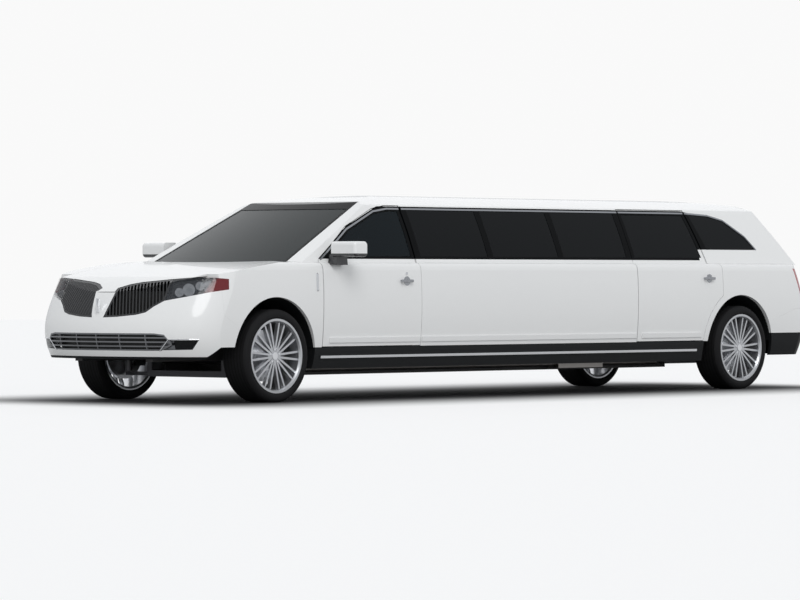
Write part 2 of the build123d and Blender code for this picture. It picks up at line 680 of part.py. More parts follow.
def door_parts(axis_x, front_edge, rear_edge, frame, arch, inner_arch):
    """One left door: thick lower panel, window frame and hinge arms; and its glass."""
    zone = level_box(rear_edge, front_edge, 0, 1200, SILL_Z + DOOR_GAP, 1300)
    relief = level_box(rear_edge - 1, rear_edge + INNER_GAP - DOOR_GAP, 0, HALF_WIDTH - WALL / 2, 300, 1300)
    with BuildPart() as door:
        add(carve(SKIN_LOWER, zone, WALL_INNER, arch, inner_arch, relief))
        add(carve(SKIN_UPPER, door_frame(frame), POST_INNER, SKIN_LOWER, window_shape(frame, FRAME_WIDTH)))
        add(hinge_arms(axis_x, front_edge))
    with BuildPart() as glass:
        add(glass_shell)
        add(window_shape(frame, FRAME_WIDTH + GLASS_FIT) - SIDE_CORE, mode=Mode.INTERSECT)
    return door.part, glass.part


nothing = level_box(0, 1, 0, 1, -10, -9)
MIRROR_X = (-800.0, -640.0)
MIRROR_Y = (952.0, 1215.0)
MIRROR_Z = (1165.0, 1290.0)
MIRROR_FOOT_Y = 905.0
MIRROR_FOOT_Z = 1100.0
MIRROR_ROUND = 34.0
with BuildPart() as mirror_foot:
    with BuildSketch(Plane.XZ.offset(-MIRROR_FOOT_Y)):
        with BuildLine():
            Polyline((front(MIRROR_X[0]) + 20, MIRROR_Z[0] + 20), (front(MIRROR_X[1]) - 30, MIRROR_Z[0] + 20),
                     (front(MIRROR_X[1]) - 10, MIRROR_FOOT_Z), (front(MIRROR_X[0]) + 10, MIRROR_FOOT_Z), close=True)
        make_face()
    extrude(amount=-(MIRROR_Y[0] + 45 - MIRROR_FOOT_Y))
    add(SKIN_CLEAR, mode=Mode.SUBTRACT)
    add(upper_section(-SEAT_FIT), mode=Mode.SUBTRACT)
with BuildPart() as left_mirror:
    add(level_box(front(MIRROR_X[0]), front(MIRROR_X[1]), *MIRROR_Y, *MIRROR_Z))
    fillet(edges().filter_by(Axis.Y), radius=MIRROR_ROUND)
    fillet(faces().sort_by(Axis.Y)[-1].edges(), radius=MIRROR_ROUND - 10)
    add(mirror_foot.part)
inner_door_arch = crosswise(rear(0), TYRE_RADIUS, 0, HALF_WIDTH - WALL / 2, DOOR_ARCH_RADIUS + INNER_GAP)
door_arch_gap = crosswise(rear(0), TYRE_RADIUS, 0, 1100, DOOR_ARCH_RADIUS + DOOR_GAP)
front_door, front_glass = door_parts(FRONT_HINGE, door_front, front(B_SEAM) + DOOR_GAP / 2, FRONT_FRAME,
                                     nothing, nothing)
rear_door, rear_glass = door_parts(REAR_HINGE, rear(REAR_DOOR_SEAM) - HINGE_GAP / 2,
                                   rear(REAR_DOOR_END) + DOOR_GAP / 2, REAR_FRAME, door_arch_gap, inner_door_arch)

# Stretch panels between the doors, with the rear doors' hinge posts
stretch_edge = rear(REAR_DOOR_SEAM) + HINGE_GAP / 2
stretch_front = front(B_SEAM) - DOOR_GAP / 2
with BuildPart() as stretch_panels:
    add(both_sides(carve(SKIN_LOWER, level_box(REAR_HINGE + PILLAR_SET, stretch_front, 0, 1200, SILL_Z, 1300),
                         WALL_INNER)))
    add(both_sides(carve(SKIN_LOWER, level_box(stretch_edge, REAR_HINGE + PILLAR_SET, SIDE_INNER, 1200, SILL_Z, 1300),
                         FLANGE_LOWER)))
    add(both_sides(hinge_pins(REAR_HINGE)))

# Quarter panels behind the rear doors
BUMPER_TOP = 720.0
TAIL_LAMP = ((rear(-770), 1078), (TAIL_X - 50, 1078), (TAIL_X - 50, 850), (rear(-880), 850))
QUARTER = ((rear(1500), 1300), (rear(1500), SILL_Z), (rear(-420), SILL_Z), (rear(-420), 600), (rear(-800), BUMPER_TOP),
           (TAIL_X - 50, BUMPER_TOP), (TAIL_X - 50, 1300))
door_side = level_box(rear(REAR_DOOR_END) - DOOR_GAP / 2, rear(1500), 0, 1200, 300, 1300)
door_sweep = crosswise(rear(0), TYRE_RADIUS, 0, 1100, DOOR_ARCH_RADIUS)
door_cut = carve(door_side, door_side, door_sweep)
quarter_side = carve(SKIN_LOWER, side_prism(QUARTER, inner=500), WALL_INNER, REAR_ARCH, door_cut, gate_opening,
                     side_prism(TAIL_LAMP, FACE_SEAM, inner=500))
with BuildPart() as quarter_panels:
    add(both_sides(quarter_side))
with BuildPart() as tail_lamps:
    add(both_sides(carve(SKIN_LOWER, side_prism(TAIL_LAMP, inner=500), SKIN_INNER, gate_opening)))

# Rear bumper
REAR_BUMPER = ((rear(-420) - FACE_SEAM, 300), (rear(-420) - FACE_SEAM, 600), (rear(-800), BUMPER_TOP - FACE_SEAM),
               (TAIL_X - 50, BUMPER_TOP - FACE_SEAM), (TAIL_X - 50, 300))
with BuildPart() as rear_bumper:
    add(carve(SKIN_LOWER, side_prism(REAR_BUMPER, inner=-HALF_WIDTH - 100), SKIN_INNER, REAR_ARCH))

# Tailgate, with hinge arms under the roof's rear edge
with BuildPart() as gate_arms:
    for end in (1, -1):
        with BuildSketch(Plane.XZ.offset(-end * GATE_ARM_Y + HINGE_ARM_HEIGHT / 2)):
            with Locations((GATE_PIN[0], GATE_PIN[1] - HINGE_ARM_DEPTH / 2)):
                Rectangle(HINGE_ARM_WIDTH, HINGE_ARM_DEPTH)
            with Locations((GATE_PIN[0] - 27, GATE_PIN[1] - HINGE_ARM_DEPTH + HINGE_ARM_WIDTH / 2)):
                Rectangle(66, HINGE_ARM_WIDTH)
            with Locations((GATE_PIN[0] - 51, GATE_PIN[1] - 32)):
                Rectangle(18, 38)
            with Locations(GATE_PIN):
                Circle(HINGE_BOSS)
                Circle(HINGE_PIN + PIN_FIT, mode=Mode.SUBTRACT)
        extrude(amount=-HINGE_ARM_HEIGHT)
with BuildPart() as gate_whole:
    add(SKIN_LOWER)
    add(SKIN_UPPER)
    add(gate_zone, mode=Mode.INTERSECT)
    add(lower_body(GATE_WALL, open_top=True), mode=Mode.SUBTRACT)
    add(POST_INNER, mode=Mode.SUBTRACT)
with BuildPart() as liftgate:
    add(gate_whole.part)
    add(rear_prism(REAR_GLASS, TAIL_X - 100, GATE_FRONT + 100), mode=Mode.SUBTRACT)
    add(gate_arms.part)
with BuildPart() as liftgate_glass:
    add(glass_shell)
    add(rear_prism(REAR_GLASS, TAIL_X - 100, GATE_FRONT + 100, -GLASS_FIT), mode=Mode.INTERSECT)

# Sill claddings under the doors, and the floor
with BuildPart() as sill_claddings:
    add(both_sides(carve(SKIN_LOWER, level_box(rear(520), front(-440), 0, 1200, 262, SILL_Z - FACE_SEAM), WALL_INNER,
                         REAR_ARCH, FRONT_ARCH)))


# Wheels: rims with open spokes and brake discs, tyres with rounded shoulders
RIM_PROFILE = ((RIM_SEAT - RIM_WALL, -RIM_WIDTH / 2 + 8), (RIM_RADIUS - RIM_WALL, -RIM_WIDTH / 2),
               (RIM_RADIUS, -RIM_WIDTH / 2), (RIM_SEAT, -RIM_WIDTH / 2 + 20), (RIM_SEAT, RIM_WIDTH / 2 - 20),
               (RIM_RADIUS, RIM_WIDTH / 2), (RIM_RADIUS - RIM_WALL - 6, RIM_WIDTH / 2),
               (RIM_SEAT - RIM_WALL, RIM_WIDTH / 2 - 14))
SPOKE_FACE = 104.0
SPOKE_DEPTH = 34.0
SPOKE_WIDTH = 16.0
SPOKE_SPREAD = 32.0
SPOKE_REACH = RIM_SEAT - RIM_WALL + 4
DISC_FACE = -62.0
DISC_THICKNESS = 30.0
HUB_BACK = -52.0
TYRE_HALF = TYRE_WIDTH / 2
TYRE_TREAD_HALF = TYRE_HALF - 26.0
TYRE_BEAD = 18.0


def wheel_plane(x, side, track):
    """Plane at a wheel's centre, its Z axis pointing out of the car."""
    return Plane(origin=(x, side * track / 2, TYRE_RADIUS), x_dir=(1, 0, 0), z_dir=(0, side, 0))


def rim_part():
    """Rim about the Z axis, outer face up: barrel, paired spokes, hub and brake disc."""
    with BuildPart() as rim:
        with BuildSketch(Plane.XZ):
            with BuildLine():
                Polyline(*RIM_PROFILE, close=True)
            make_face()
        revolve(axis=Axis.Z)
        with BuildSketch(Plane.XY.offset(SPOKE_FACE - SPOKE_DEPTH)):
            with PolarLocations(0, SPOKES):
                for spread in (-SPOKE_SPREAD, SPOKE_SPREAD):
                    Polygon((20, spread / 4 - 9), (SPOKE_REACH, spread - SPOKE_WIDTH / 2),
                            (SPOKE_REACH, spread + SPOKE_WIDTH / 2), (20, spread / 4 + 9), align=None)
        extrude(amount=SPOKE_DEPTH)
        with BuildSketch(Plane.XY.offset(HUB_BACK)):
            Circle(HUB_RADIUS)
        extrude(amount=SPOKE_FACE - HUB_BACK - 6)
        with BuildSketch(Plane.XY.offset(DISC_FACE)):
            Circle(DISC_RADIUS)
        extrude(amount=DISC_THICKNESS)
        with BuildSketch(Plane.XY.offset(-RIM_WIDTH)):
            Circle(SPINDLE_RADIUS + PIN_FIT)
        extrude(amount=RIM_WIDTH + SPOKE_FACE - 60, mode=Mode.SUBTRACT)
    return rim.part


def tyre_part():
    """Tyre about the Z axis, seated on the rim."""
    seat = RIM_SEAT + GLASS_FIT
    bead = RIM_RADIUS + 2
    with BuildPart() as tyre:
        with BuildSketch(Plane.XZ):
            with BuildLine():
                Polyline((seat, -RIM_WIDTH / 2 + 24), (bead, -RIM_WIDTH / 2 + 2), (bead + 14, -TYRE_HALF))
                ThreePointArc((bead + 14, -TYRE_HALF), (TYRE_RADIUS - 16, -TYRE_HALF + 6),
                              (TYRE_RADIUS, -TYRE_TREAD_HALF))
                Line((TYRE_RADIUS, -TYRE_TREAD_HALF), (TYRE_RADIUS, TYRE_TREAD_HALF))
                ThreePointArc((TYRE_RADIUS, TYRE_TREAD_HALF), (TYRE_RADIUS - 16, TYRE_HALF - 6),
                              (bead + 14, TYRE_HALF))
                Polyline((bead + 14, TYRE_HALF), (bead, RIM_WIDTH / 2 - 2), (seat, RIM_WIDTH / 2 - 24),
                         (seat, -RIM_WIDTH / 2 + 24))
            make_face()
        revolve(axis=Axis.Z)
    return tyre.part


RIM = rim_part()
TYRE = tyre_part()
WHEELS = {
    "front_left": (front(0), 1, TRACK_FRONT),
    "front_right": (front(0), -1, TRACK_FRONT),
    "rear_left": (rear(0), 1, TRACK_REAR),
    "rear_right": (rear(0), -1, TRACK_REAR),
}


def placed(part, x, side, track):
    """A wheel piece moved to its hub, outer face outwards."""
    with BuildPart() as piece:
        add(part.moved(wheel_plane(x, side, track).location))
    return piece.part


# Steering knuckles with spindles and calipers; the kingpins belong to the suspension
FRONT_HUB_Y = TRACK_FRONT / 2
KNUCKLE_LOW = 232.0
KNUCKLE_HIGH = 512.0
CALIPER_GAP = 6.0
with BuildPart() as left_knuckle:
    add(upright(front(0), KINGPIN_Y, KNUCKLE_LOW, KNUCKLE_HIGH, 30))
    add(crosswise(front(0), TYRE_RADIUS, KINGPIN_Y - 30, FRONT_HUB_Y + DISC_FACE - 8, 58))
    add(crosswise(front(0), TYRE_RADIUS, KINGPIN_Y, FRONT_HUB_Y + SPOKE_FACE - 66, SPINDLE_RADIUS))
    add(upright(front(0), KINGPIN_Y, KNUCKLE_LOW - 1, TYRE_RADIUS - 60, KINGPIN_RADIUS + PIN_FIT),
        mode=Mode.SUBTRACT)
    add(upright(front(0), KINGPIN_Y, TYRE_RADIUS + 60, KNUCKLE_HIGH + 1, KINGPIN_RADIUS + PIN_FIT),
        mode=Mode.SUBTRACT)
CALIPER_R0 = 120.0
CALIPER_R1 = DISC_RADIUS + 24.0


def caliper_part(x, hub_y):
    """Caliper that straddles the brake disc behind the axle, open towards the hub."""
    disc_in = hub_y + DISC_FACE
    disc_out = disc_in + DISC_THICKNESS
    with BuildPart() as caliper:
        with BuildSketch(Plane.XZ.offset(-disc_in + CALIPER_GAP + 24)):
            with Locations((x, TYRE_RADIUS)):
                Circle(CALIPER_R1)
                Circle(CALIPER_R0, mode=Mode.SUBTRACT)
                Rectangle(600, 600, align=(Align.MIN, Align.CENTER), mode=Mode.SUBTRACT)
                with Locations((-300, 300), (-300, -300)):
                    Rectangle(600, 400, mode=Mode.SUBTRACT)
        extrude(amount=-(DISC_THICKNESS + 2 * CALIPER_GAP + 44))
        add(crosswise(x, TYRE_RADIUS, disc_in - CALIPER_GAP, disc_out + CALIPER_GAP, DISC_RADIUS + CALIPER_GAP),
            mode=Mode.SUBTRACT)
    return caliper.part


with BuildPart() as left_knuckle_whole:
    add(left_knuckle.part)
    add(caliper_part(front(0), FRONT_HUB_Y))
    add(level_box(front(-150), front(0), FRONT_HUB_Y + DISC_FACE - 30, FRONT_HUB_Y + DISC_FACE - 10,
                  TYRE_RADIUS - 35, TYRE_RADIUS + 35))

# Front suspension and subframe: arms to the kingpins, cross member and rack
ARM_HALF = 34.0
SUBFRAME_Y = 420.0
with BuildPart() as front_suspension:
    for end in (1, -1):
        y = end * KINGPIN_Y
        for z0, pin0, pin1 in ((KNUCKLE_LOW - 34, KNUCKLE_LOW - 20, TYRE_RADIUS - 66),
                               (KNUCKLE_HIGH + 4, TYRE_RADIUS + 66, KNUCKLE_HIGH + 20)):
            add(level_box(front(-ARM_HALF), front(ARM_HALF), min(y, end * SUBFRAME_Y), max(y, end * SUBFRAME_Y),
                          z0, z0 + 30))
            add(upright(front(0), y, pin0, pin1, KINGPIN_RADIUS))
        add(level_box(front(-60), front(60), end * SUBFRAME_Y - 25, end * SUBFRAME_Y + 25, KNUCKLE_LOW - 40,
                      KNUCKLE_HIGH + 40))
    add(level_box(front(-60), front(60), -SUBFRAME_Y, SUBFRAME_Y, KNUCKLE_LOW - 40, KNUCKLE_LOW + 10))

# Rear axle: beam, drive housing, spindles and calipers
RAIL_Y = 400.0
REAR_HUB_Y = TRACK_REAR / 2
with BuildPart() as rear_axle:
    add(crosswise(rear(0), TYRE_RADIUS, -REAR_HUB_Y + 80, REAR_HUB_Y - 80, 45))
    add(crosswise(rear(0), TYRE_RADIUS, -REAR_HUB_Y - SPOKE_FACE + 66, REAR_HUB_Y + SPOKE_FACE - 66, SPINDLE_RADIUS))
    add(Sphere(130, mode=Mode.PRIVATE).moved(Location((rear(0), 0, TYRE_RADIUS))))
    for end in (1, -1):
        caliper = caliper_part(rear(0), REAR_HUB_Y)
        add(caliper if end > 0 else mirror(caliper, about=Plane.XZ))
        y0 = REAR_HUB_Y + DISC_FACE - 30
        add(level_box(rear(-150), rear(0), min(end * y0, end * (y0 + 20)), max(end * y0, end * (y0 + 20)),
                      TYRE_RADIUS - 35, TYRE_RADIUS + 35))
        y_low, y_high = sorted((end * (RAIL_Y + 45), end * (RAIL_Y + 100)))
        add(level_box(rear(-40), rear(530), y_low, y_high, 230, 280))
        add(level_box(rear(-40), rear(40), y_low, y_high, 230, TYRE_RADIUS))

# Frame rails and cross members
FLOOR_Z = 300.0
with BuildPart() as underframe:
    for end in (1, -1):
        add(level_box(rear(460), front(-60), end * RAIL_Y - 45, end * RAIL_Y + 45, 200, FLOOR_Z))
        add(level_box(front(60), front(880), end * RAIL_Y - 40, end * RAIL_Y + 40, 330, 430))
    for x in (front(-500), (front(0) + rear(0)) / 2, rear(700)):
        add(level_box(x - 50, x + 50, -RAIL_Y, RAIL_Y, 215, 275))

# Floor, tunnel, cargo floor and wheel housings
CARGO_Z = 640.0
with BuildPart() as floor_pan:
    add(level_box(rear(560), BULKHEAD_X, -CABIN_HALF, CABIN_HALF, FLOOR_Z, FLOOR_Z + 25))
    add(level_box(rear(540), rear(560), -CABIN_HALF + 90, CABIN_HALF - 90, FLOOR_Z, CARGO_Z + 20))
    add(level_box(rear(-960), rear(560), -600, 600, CARGO_Z, CARGO_Z + 20))
LINER_WALL = 4.0


def liner_part(x, low):
    """Arched housing over one left wheel."""
    with BuildPart() as liner:
        with BuildSketch(Plane.XZ.offset(-610)):
            with Locations((x, TYRE_RADIUS)):
                Circle(ARCH_RADIUS - 1)
                Circle(ARCH_RADIUS - 1 - LINER_WALL, mode=Mode.SUBTRACT)
                with Locations((0, low - 600)):
                    Rectangle(1200, 1200, mode=Mode.SUBTRACT)
        extrude(amount=-(HALF_WIDTH - 45 - 610))
    return liner.part


with BuildPart() as wheel_liners:
    add(both_sides(liner_part(front(0), 60)))
    add(both_sides(liner_part(rear(0), 60)))

# Inside: dashboard, seats, lounge, bar and partition
PARTITION_X = front(-2050)
PARTITION_HALF = 852.0
with BuildPart() as dashboard:
    with BuildSketch(Plane.XZ.offset(-CABIN_HALF + 30)):
        with BuildLine():
            Polyline((BULKHEAD_X, 760), (BULKHEAD_X, 1005), (front(-620), 1080), (front(-850), 1060),
                     (front(-900), 960), (front(-840), 780), (front(-700), 700), close=True)
        make_face()
    extrude(amount=2 * (CABIN_HALF - 30))
WHEEL_TILT = 24.0
WHEEL_CENTRE = (front(-1060), 370.0, 990.0)
steering_plane = Plane(origin=WHEEL_CENTRE, x_dir=(0, 1, 0),
                       z_dir=(-math.cos(math.radians(WHEEL_TILT)), 0, math.sin(math.radians(WHEEL_TILT))))
with BuildPart() as steering_wheel:
    with BuildSketch(steering_plane.offset(-12)):
        Circle(186)
        Circle(160, mode=Mode.SUBTRACT)
        Circle(62)
        with PolarLocations(0, 3, start_angle=-90):
            with Locations((110, 0)):
                Rectangle(120, 34)
    extrude(amount=24)
    with BuildSketch(steering_plane.offset(-12)):
        Circle(24)
    extrude(amount=-190)
    add(dashboard.part, mode=Mode.SUBTRACT)


def seat_part(x, y, width, base, depth, back_height, lean):
    """Seat from its side outline: cushion, leaning back and headrest."""
    with BuildPart() as seat:
        with BuildSketch(Plane.XZ.offset(width / 2 - y)):
            with BuildLine():
                Polyline((x, base), (x, base + 210), (x - 30, base + 250), (x - depth + 130, base + 215),
                         (x - depth + 100 - lean, base + 215 + back_height), (x - depth - lean, base + 205 + back_height),
                         (x - depth - 20, base), close=True)
            make_face()
        extrude(amount=-width)
    return seat.part


with BuildPart() as front_cushions:
    for end in (1, -1):
        add(seat_part(front(-1180), end * 390, 520, 420 + SEAT_FIT, 500, 590, 120))
LOUNGE_DEPTH = 520.0
LOUNGE_REAR = rear(1560)
LOUNGE_FRONT = PARTITION_X - 160
with BuildPart() as seat_bases:
    for end in (1, -1):
        add(level_box(front(-1600), front(-1250), end * 390 - 190, end * 390 + 190, FLOOR_Z + 25, 420))
    add(level_box(LOUNGE_REAR, LOUNGE_FRONT, -CABIN_HALF + 20, -CABIN_HALF + LOUNGE_DEPTH - 40, FLOOR_Z + 25, 520))
    add(level_box(rear(570), rear(1060), -CABIN_HALF + 30, CABIN_HALF - 30, FLOOR_Z + 25, 520))
with BuildPart() as lounge_seat:
    add(level_box(LOUNGE_REAR, LOUNGE_FRONT, -CABIN_HALF + 20, -CABIN_HALF + LOUNGE_DEPTH, 520 + SEAT_FIT, 690))
with BuildPart() as lounge_back:
    add(level_box(LOUNGE_REAR, LOUNGE_FRONT, -CABIN_HALF + 20, -CABIN_HALF + 170, 690 + SEAT_FIT, 1080))
with BuildPart() as rear_seat:
    add(level_box(rear(575), rear(1110), -CABIN_HALF + 30, CABIN_HALF - 30, 520 + SEAT_FIT, 700))
with BuildPart() as rear_back:
    add(level_box(rear(575), rear(730), -CABIN_HALF + 85, CABIN_HALF - 85, 700 + SEAT_FIT, 1190))
with BuildPart() as bar_console:
    add(level_box(rear(1600), PARTITION_X - 160, CABIN_HALF - 380, CABIN_HALF - 20, FLOOR_Z + 25, 860))
    add(level_box(rear(1590), PARTITION_X - 150, CABIN_HALF - 400, CABIN_HALF - 20, 860, 890))
    for bay in range(5):
        x = rear(1650) + bay * 430
        add(level_box(x, x + 380, CABIN_HALF - 390, CABIN_HALF - 120, 420, 800), mode=Mode.SUBTRACT)
with BuildPart() as partition:
    add(level_box(PARTITION_X - 30, PARTITION_X, -PARTITION_HALF, PARTITION_HALF, FLOOR_Z + 25, 1130))
with BuildPart() as partition_frame:
    add(level_box(PARTITION_X - 30, PARTITION_X, -CABIN_HALF + 6, CABIN_HALF - 6, 1130, 1700))
    add(level_box(PARTITION_X - 40, PARTITION_X + 10, -520, 520, 1190, 1530), mode=Mode.SUBTRACT)

# Engine, tank and exhaust, plain masses under the skin
with BuildPart() as engine:
    add(level_box(front(-380), front(330), -330, 330, 445, 860))
    add(level_box(front(100), front(220), -400, 400, 430, 445))
    add(level_box(front(-250), front(-180), -330, 330, 430, 445))
with BuildPart() as fuel_tank:
    add(level_box(rear(760), rear(1600), -340, 340, 205, FLOOR_Z))


def lengthwise(y, z, x0, x1, radius):
    """Cylinder along the car."""
    with BuildPart() as rod:
        with BuildSketch(Plane.YZ.offset(x0)):
            with Locations((y, z)):
                Circle(radius)
        extrude(amount=x1 - x0)
    return rod.part


with BuildPart() as exhaust:
    for end in (1, -1):
        add(lengthwise(end * 520, 255, rear(700), front(-700), 28))
        add(level_box(rear(1500), rear(2100), end * 520 - 60, end * 520 + 60, 215, 299.7))

FIXED = {
    "front_fenders": front_fenders,
    "cowl_panel": cowl_panel,
    "front_bumper": front_bumper,
    "lower_grille": lower_grille,
    "grille_wings": grille_wings,
    "headlamps": headlamps,
    "bulkhead": bulkhead,
    "roof_frame": roof_frame,
    "windshield": windshield,
    "side_glass": side_glass,
    "stretch_panels": stretch_panels,
    "quarter_panels": quarter_panels,
    "tail_lamps": tail_lamps,
    "rear_bumper": rear_bumper,
    "sill_claddings": sill_claddings,
    "front_suspension": front_suspension,
    "rear_axle": rear_axle,
    "underframe": underframe,
    "floor_pan": floor_pan,
    "wheel_liners": wheel_liners,
    "dashboard": dashboard,
    "steering_wheel": steering_wheel,
    "seat_bases": seat_bases,
    "front_cushions": front_cushions,
    "lounge_seat": lounge_seat,
    "lounge_back": lounge_back,
    "rear_seat": rear_seat,
    "rear_back": rear_back,
    "bar_console": bar_console,
    "partition": partition,
    "partition_frame": partition_frame,
    "engine": engine,
    "fuel_tank": fuel_tank,
    "exhaust": exhaust,
    "hood": hood,
    "liftgate": liftgate,
    "liftgate_glass": liftgate_glass,
    "left_knuckle": left_knuckle_whole,
}
INSIDE = ("floor_pan", "bulkhead", "seat_bases", "bar_console", "partition", "partition_frame", "dashboard")
PIECES = {label: node.part for label, node in FIXED.items()}
for label in INSIDE:
    PIECES[label] = carve(PIECES[label], cabin_space.part)
PIECES["right_knuckle"] = right_of(left_knuckle_whole.part)
PIECES["left_mirror"] = left_mirror.part
PIECES["right_mirror"] = right_of(left_mirror.part)
PIECES["front_left_door"] = front_door
PIECES["front_left_glass"] = front_glass
PIECES["rear_left_door"] = rear_door
PIECES["rear_left_glass"] = rear_glass
for label in ("front_left_door", "front_left_glass", "rear_left_door", "rear_left_glass"):
    PIECES[label.replace("left", "right")] = right_of(PIECES[label])
for label, place in WHEELS.items():
    PIECES[label + "_rim"] = placed(RIM, *place)
    PIECES[label + "_tyre"] = placed(TYRE, *place)

os.makedirs("parts", exist_ok=True)
for label, piece in PIECES.items():
    piece.label = label
    export_step(piece, f"parts/{label}.step")
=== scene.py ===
import json
import math

import bmesh
import bpy
from bpy.props import FloatProperty, FloatVectorProperty, PointerProperty
from mathutils import Matrix, Vector


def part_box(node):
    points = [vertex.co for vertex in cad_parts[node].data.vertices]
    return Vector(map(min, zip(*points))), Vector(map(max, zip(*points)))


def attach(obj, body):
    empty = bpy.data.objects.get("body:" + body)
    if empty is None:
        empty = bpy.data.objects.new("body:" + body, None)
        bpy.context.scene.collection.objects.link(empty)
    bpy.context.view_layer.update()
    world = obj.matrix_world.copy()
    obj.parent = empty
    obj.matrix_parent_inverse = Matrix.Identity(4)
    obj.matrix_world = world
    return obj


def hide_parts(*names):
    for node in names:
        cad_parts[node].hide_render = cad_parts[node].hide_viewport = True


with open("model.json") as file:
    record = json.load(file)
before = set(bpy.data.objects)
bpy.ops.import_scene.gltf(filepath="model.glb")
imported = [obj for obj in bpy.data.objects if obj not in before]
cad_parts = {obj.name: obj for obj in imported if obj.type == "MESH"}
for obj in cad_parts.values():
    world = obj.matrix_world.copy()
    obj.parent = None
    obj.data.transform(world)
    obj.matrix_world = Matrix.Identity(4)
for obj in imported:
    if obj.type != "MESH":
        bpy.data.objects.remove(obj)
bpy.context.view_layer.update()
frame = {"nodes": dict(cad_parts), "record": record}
NODES = frame["nodes"]

bl_info = {
    "name": "Stretched Car Dressing",
    "version": (1, 0, 0),
    "blender": (4, 5, 0),
    "location": "View3D > Sidebar > Stretched Car",
    "description": "Trim, seats, lamps and finishes for the stretched car's frame",
    "category": "Object",
}

FRONT_AXLE = 3.0755
REAR_AXLE = -2.9675
NOSE_X = 4.1605
WHEEL_Z = 0.372
HUBS = {
    "front_left": (FRONT_AXLE, 1, 0.828),
    "front_right": (FRONT_AXLE, -1, 0.828),
    "rear_left": (REAR_AXLE, 1, 0.8255),
    "rear_right": (REAR_AXLE, -1, 0.8255),
}


def ahead(x):
    """Place along the car, from a distance ahead of the front axle."""
    return FRONT_AXLE + x


def arc_height(z, low, middle, high):
    """Half width of the side at a height, on a parabola through three points of (half width, height)."""
    total = 0.0
    points = (low, middle, high)
    for i, (half, level) in enumerate(points):
        share = half
        for j, (_, other) in enumerate(points):
            if j != i:
                share *= (z - other) / (level - other)
        total += share
    return total


def cabin_half(z):
    """Half width of the cabin's outside at a height."""
    return arc_height(z, (0.905, 1.090), (0.806, 1.353), (0.690, 1.598))


def side_half(z):
    """Half width of the lower body's outside at a height."""
    return arc_height(z, (0.931, 0.400), (0.955, 0.820), (0.944, 1.060))


# Materials

class Number:
    """A float socket whose Python arithmetic adds Math nodes."""

    def __init__(self, finish, socket):
        self.finish = finish
        self.socket = socket

    def _math(self, operation, first, second=None):
        values = [v.socket if isinstance(v, Number) else v for v in (first, second) if v is not None]
        made = self.finish.node("ShaderNodeMath", {"operation": operation}, dict(enumerate(values)))
        return Number(self.finish, made.outputs[0])

    def __add__(self, other):
        return self._math("ADD", self, other)

    def __sub__(self, other):
        return self._math("SUBTRACT", self, other)

    def __rsub__(self, other):
        return self._math("SUBTRACT", other, self)

    def __mul__(self, other):
        return self._math("MULTIPLY", self, other)

    def __gt__(self, other):
        return self._math("GREATER_THAN", self, other)

    def __lt__(self, other):
        return self._math("LESS_THAN", self, other)

    def __abs__(self):
        return self._math("ABSOLUTE", self)

    def fade(self, full, none):
        """1 up to a value, falling smoothly to 0 at another."""
        ends = {"Value": self, "From Min": full, "From Max": none, "To Min": 1.0, "To Max": 0.0}
        made = self.finish.node("ShaderNodeMapRange", {"interpolation_type": "SMOOTHSTEP"}, ends)
        return Number(self.finish, made.outputs[0])

    def sine(self):
        """Sine of the value."""
        return self._math("SINE", self)


class Finish:
    """A node-based material with one Principled shader."""

    def __init__(self, name, color, roughness, metallic=0.0, coat=0.0, alpha=1.0):
        self.material = bpy.data.materials.new(name)
        self.material.use_nodes = True
        self.tree = self.material.node_tree
        self.shader = self.tree.nodes["Principled BSDF"]
        self.set("Base Color", (*color, 1.0))
        self.set("Roughness", roughness)
        self.set("Metallic", metallic)
        self.set("Coat Weight", coat)
        self.set("Coat Roughness", 0.04)
        self.set("Alpha", alpha)

    def set(self, name, value):
        """Gives a shader socket a value."""
        self.shader.inputs[name].default_value = value

    def node(self, kind, settings, inputs):
        """Adds a node: its settings first, then its sockets' values or links."""
        made = self.tree.nodes.new(kind)
        for key, value in settings.items():
            setattr(made, key, value)
        for key, value in inputs.items():
            if isinstance(value, Number):
                value = value.socket
            if isinstance(value, bpy.types.NodeSocket):
                self.tree.links.new(value, made.inputs[key])
            else:
                made.inputs[key].default_value = value
        return made

    def link(self, socket, name):
        """Feeds a shader socket from a node."""
        self.tree.links.new(socket.socket if isinstance(socket, Number) else socket, self.shader.inputs[name])

    def place(self):
        """Object coordinates as three numbers."""
        coords = self.node("ShaderNodeTexCoord", {}, {}).outputs["Object"]
        parts = self.node("ShaderNodeSeparateXYZ", {}, {0: coords})
        return [Number(self, parts.outputs[i]) for i in range(3)]

    def noise(self, scale, detail=3.0):
        """Noise over Object coordinates."""
        coords = self.node("ShaderNodeTexCoord", {}, {}).outputs["Object"]
        made = self.node("ShaderNodeTexNoise", {}, {"Vector": coords, "Scale": scale, "Detail": detail})
        return Number(self, made.outputs[0])

    def mix(self, factor, first, second):
        """Colour between two colours by a factor."""
        made = self.node("ShaderNodeMix", {"data_type": "RGBA"}, {0: factor, 6: (*first, 1), 7: (*second, 1)})
        return made.outputs[2]

    def bump(self, height, strength, distance):
        """Bump from a height into the shader's normal."""
        made = self.node("ShaderNodeBump", {}, {"Strength": strength, "Distance": distance, "Height": height})
        self.link(made.outputs[0], "Normal")


MATERIALS = {}
PEARL = (0.87, 0.875, 0.87)
GLOSS_BLACK = (0.004, 0.0045, 0.005)
PLASTIC_BLACK = (0.010, 0.011, 0.012)
RUBBER_BLACK = (0.010, 0.010, 0.011)
SLAT_GREY = (0.20, 0.205, 0.215)

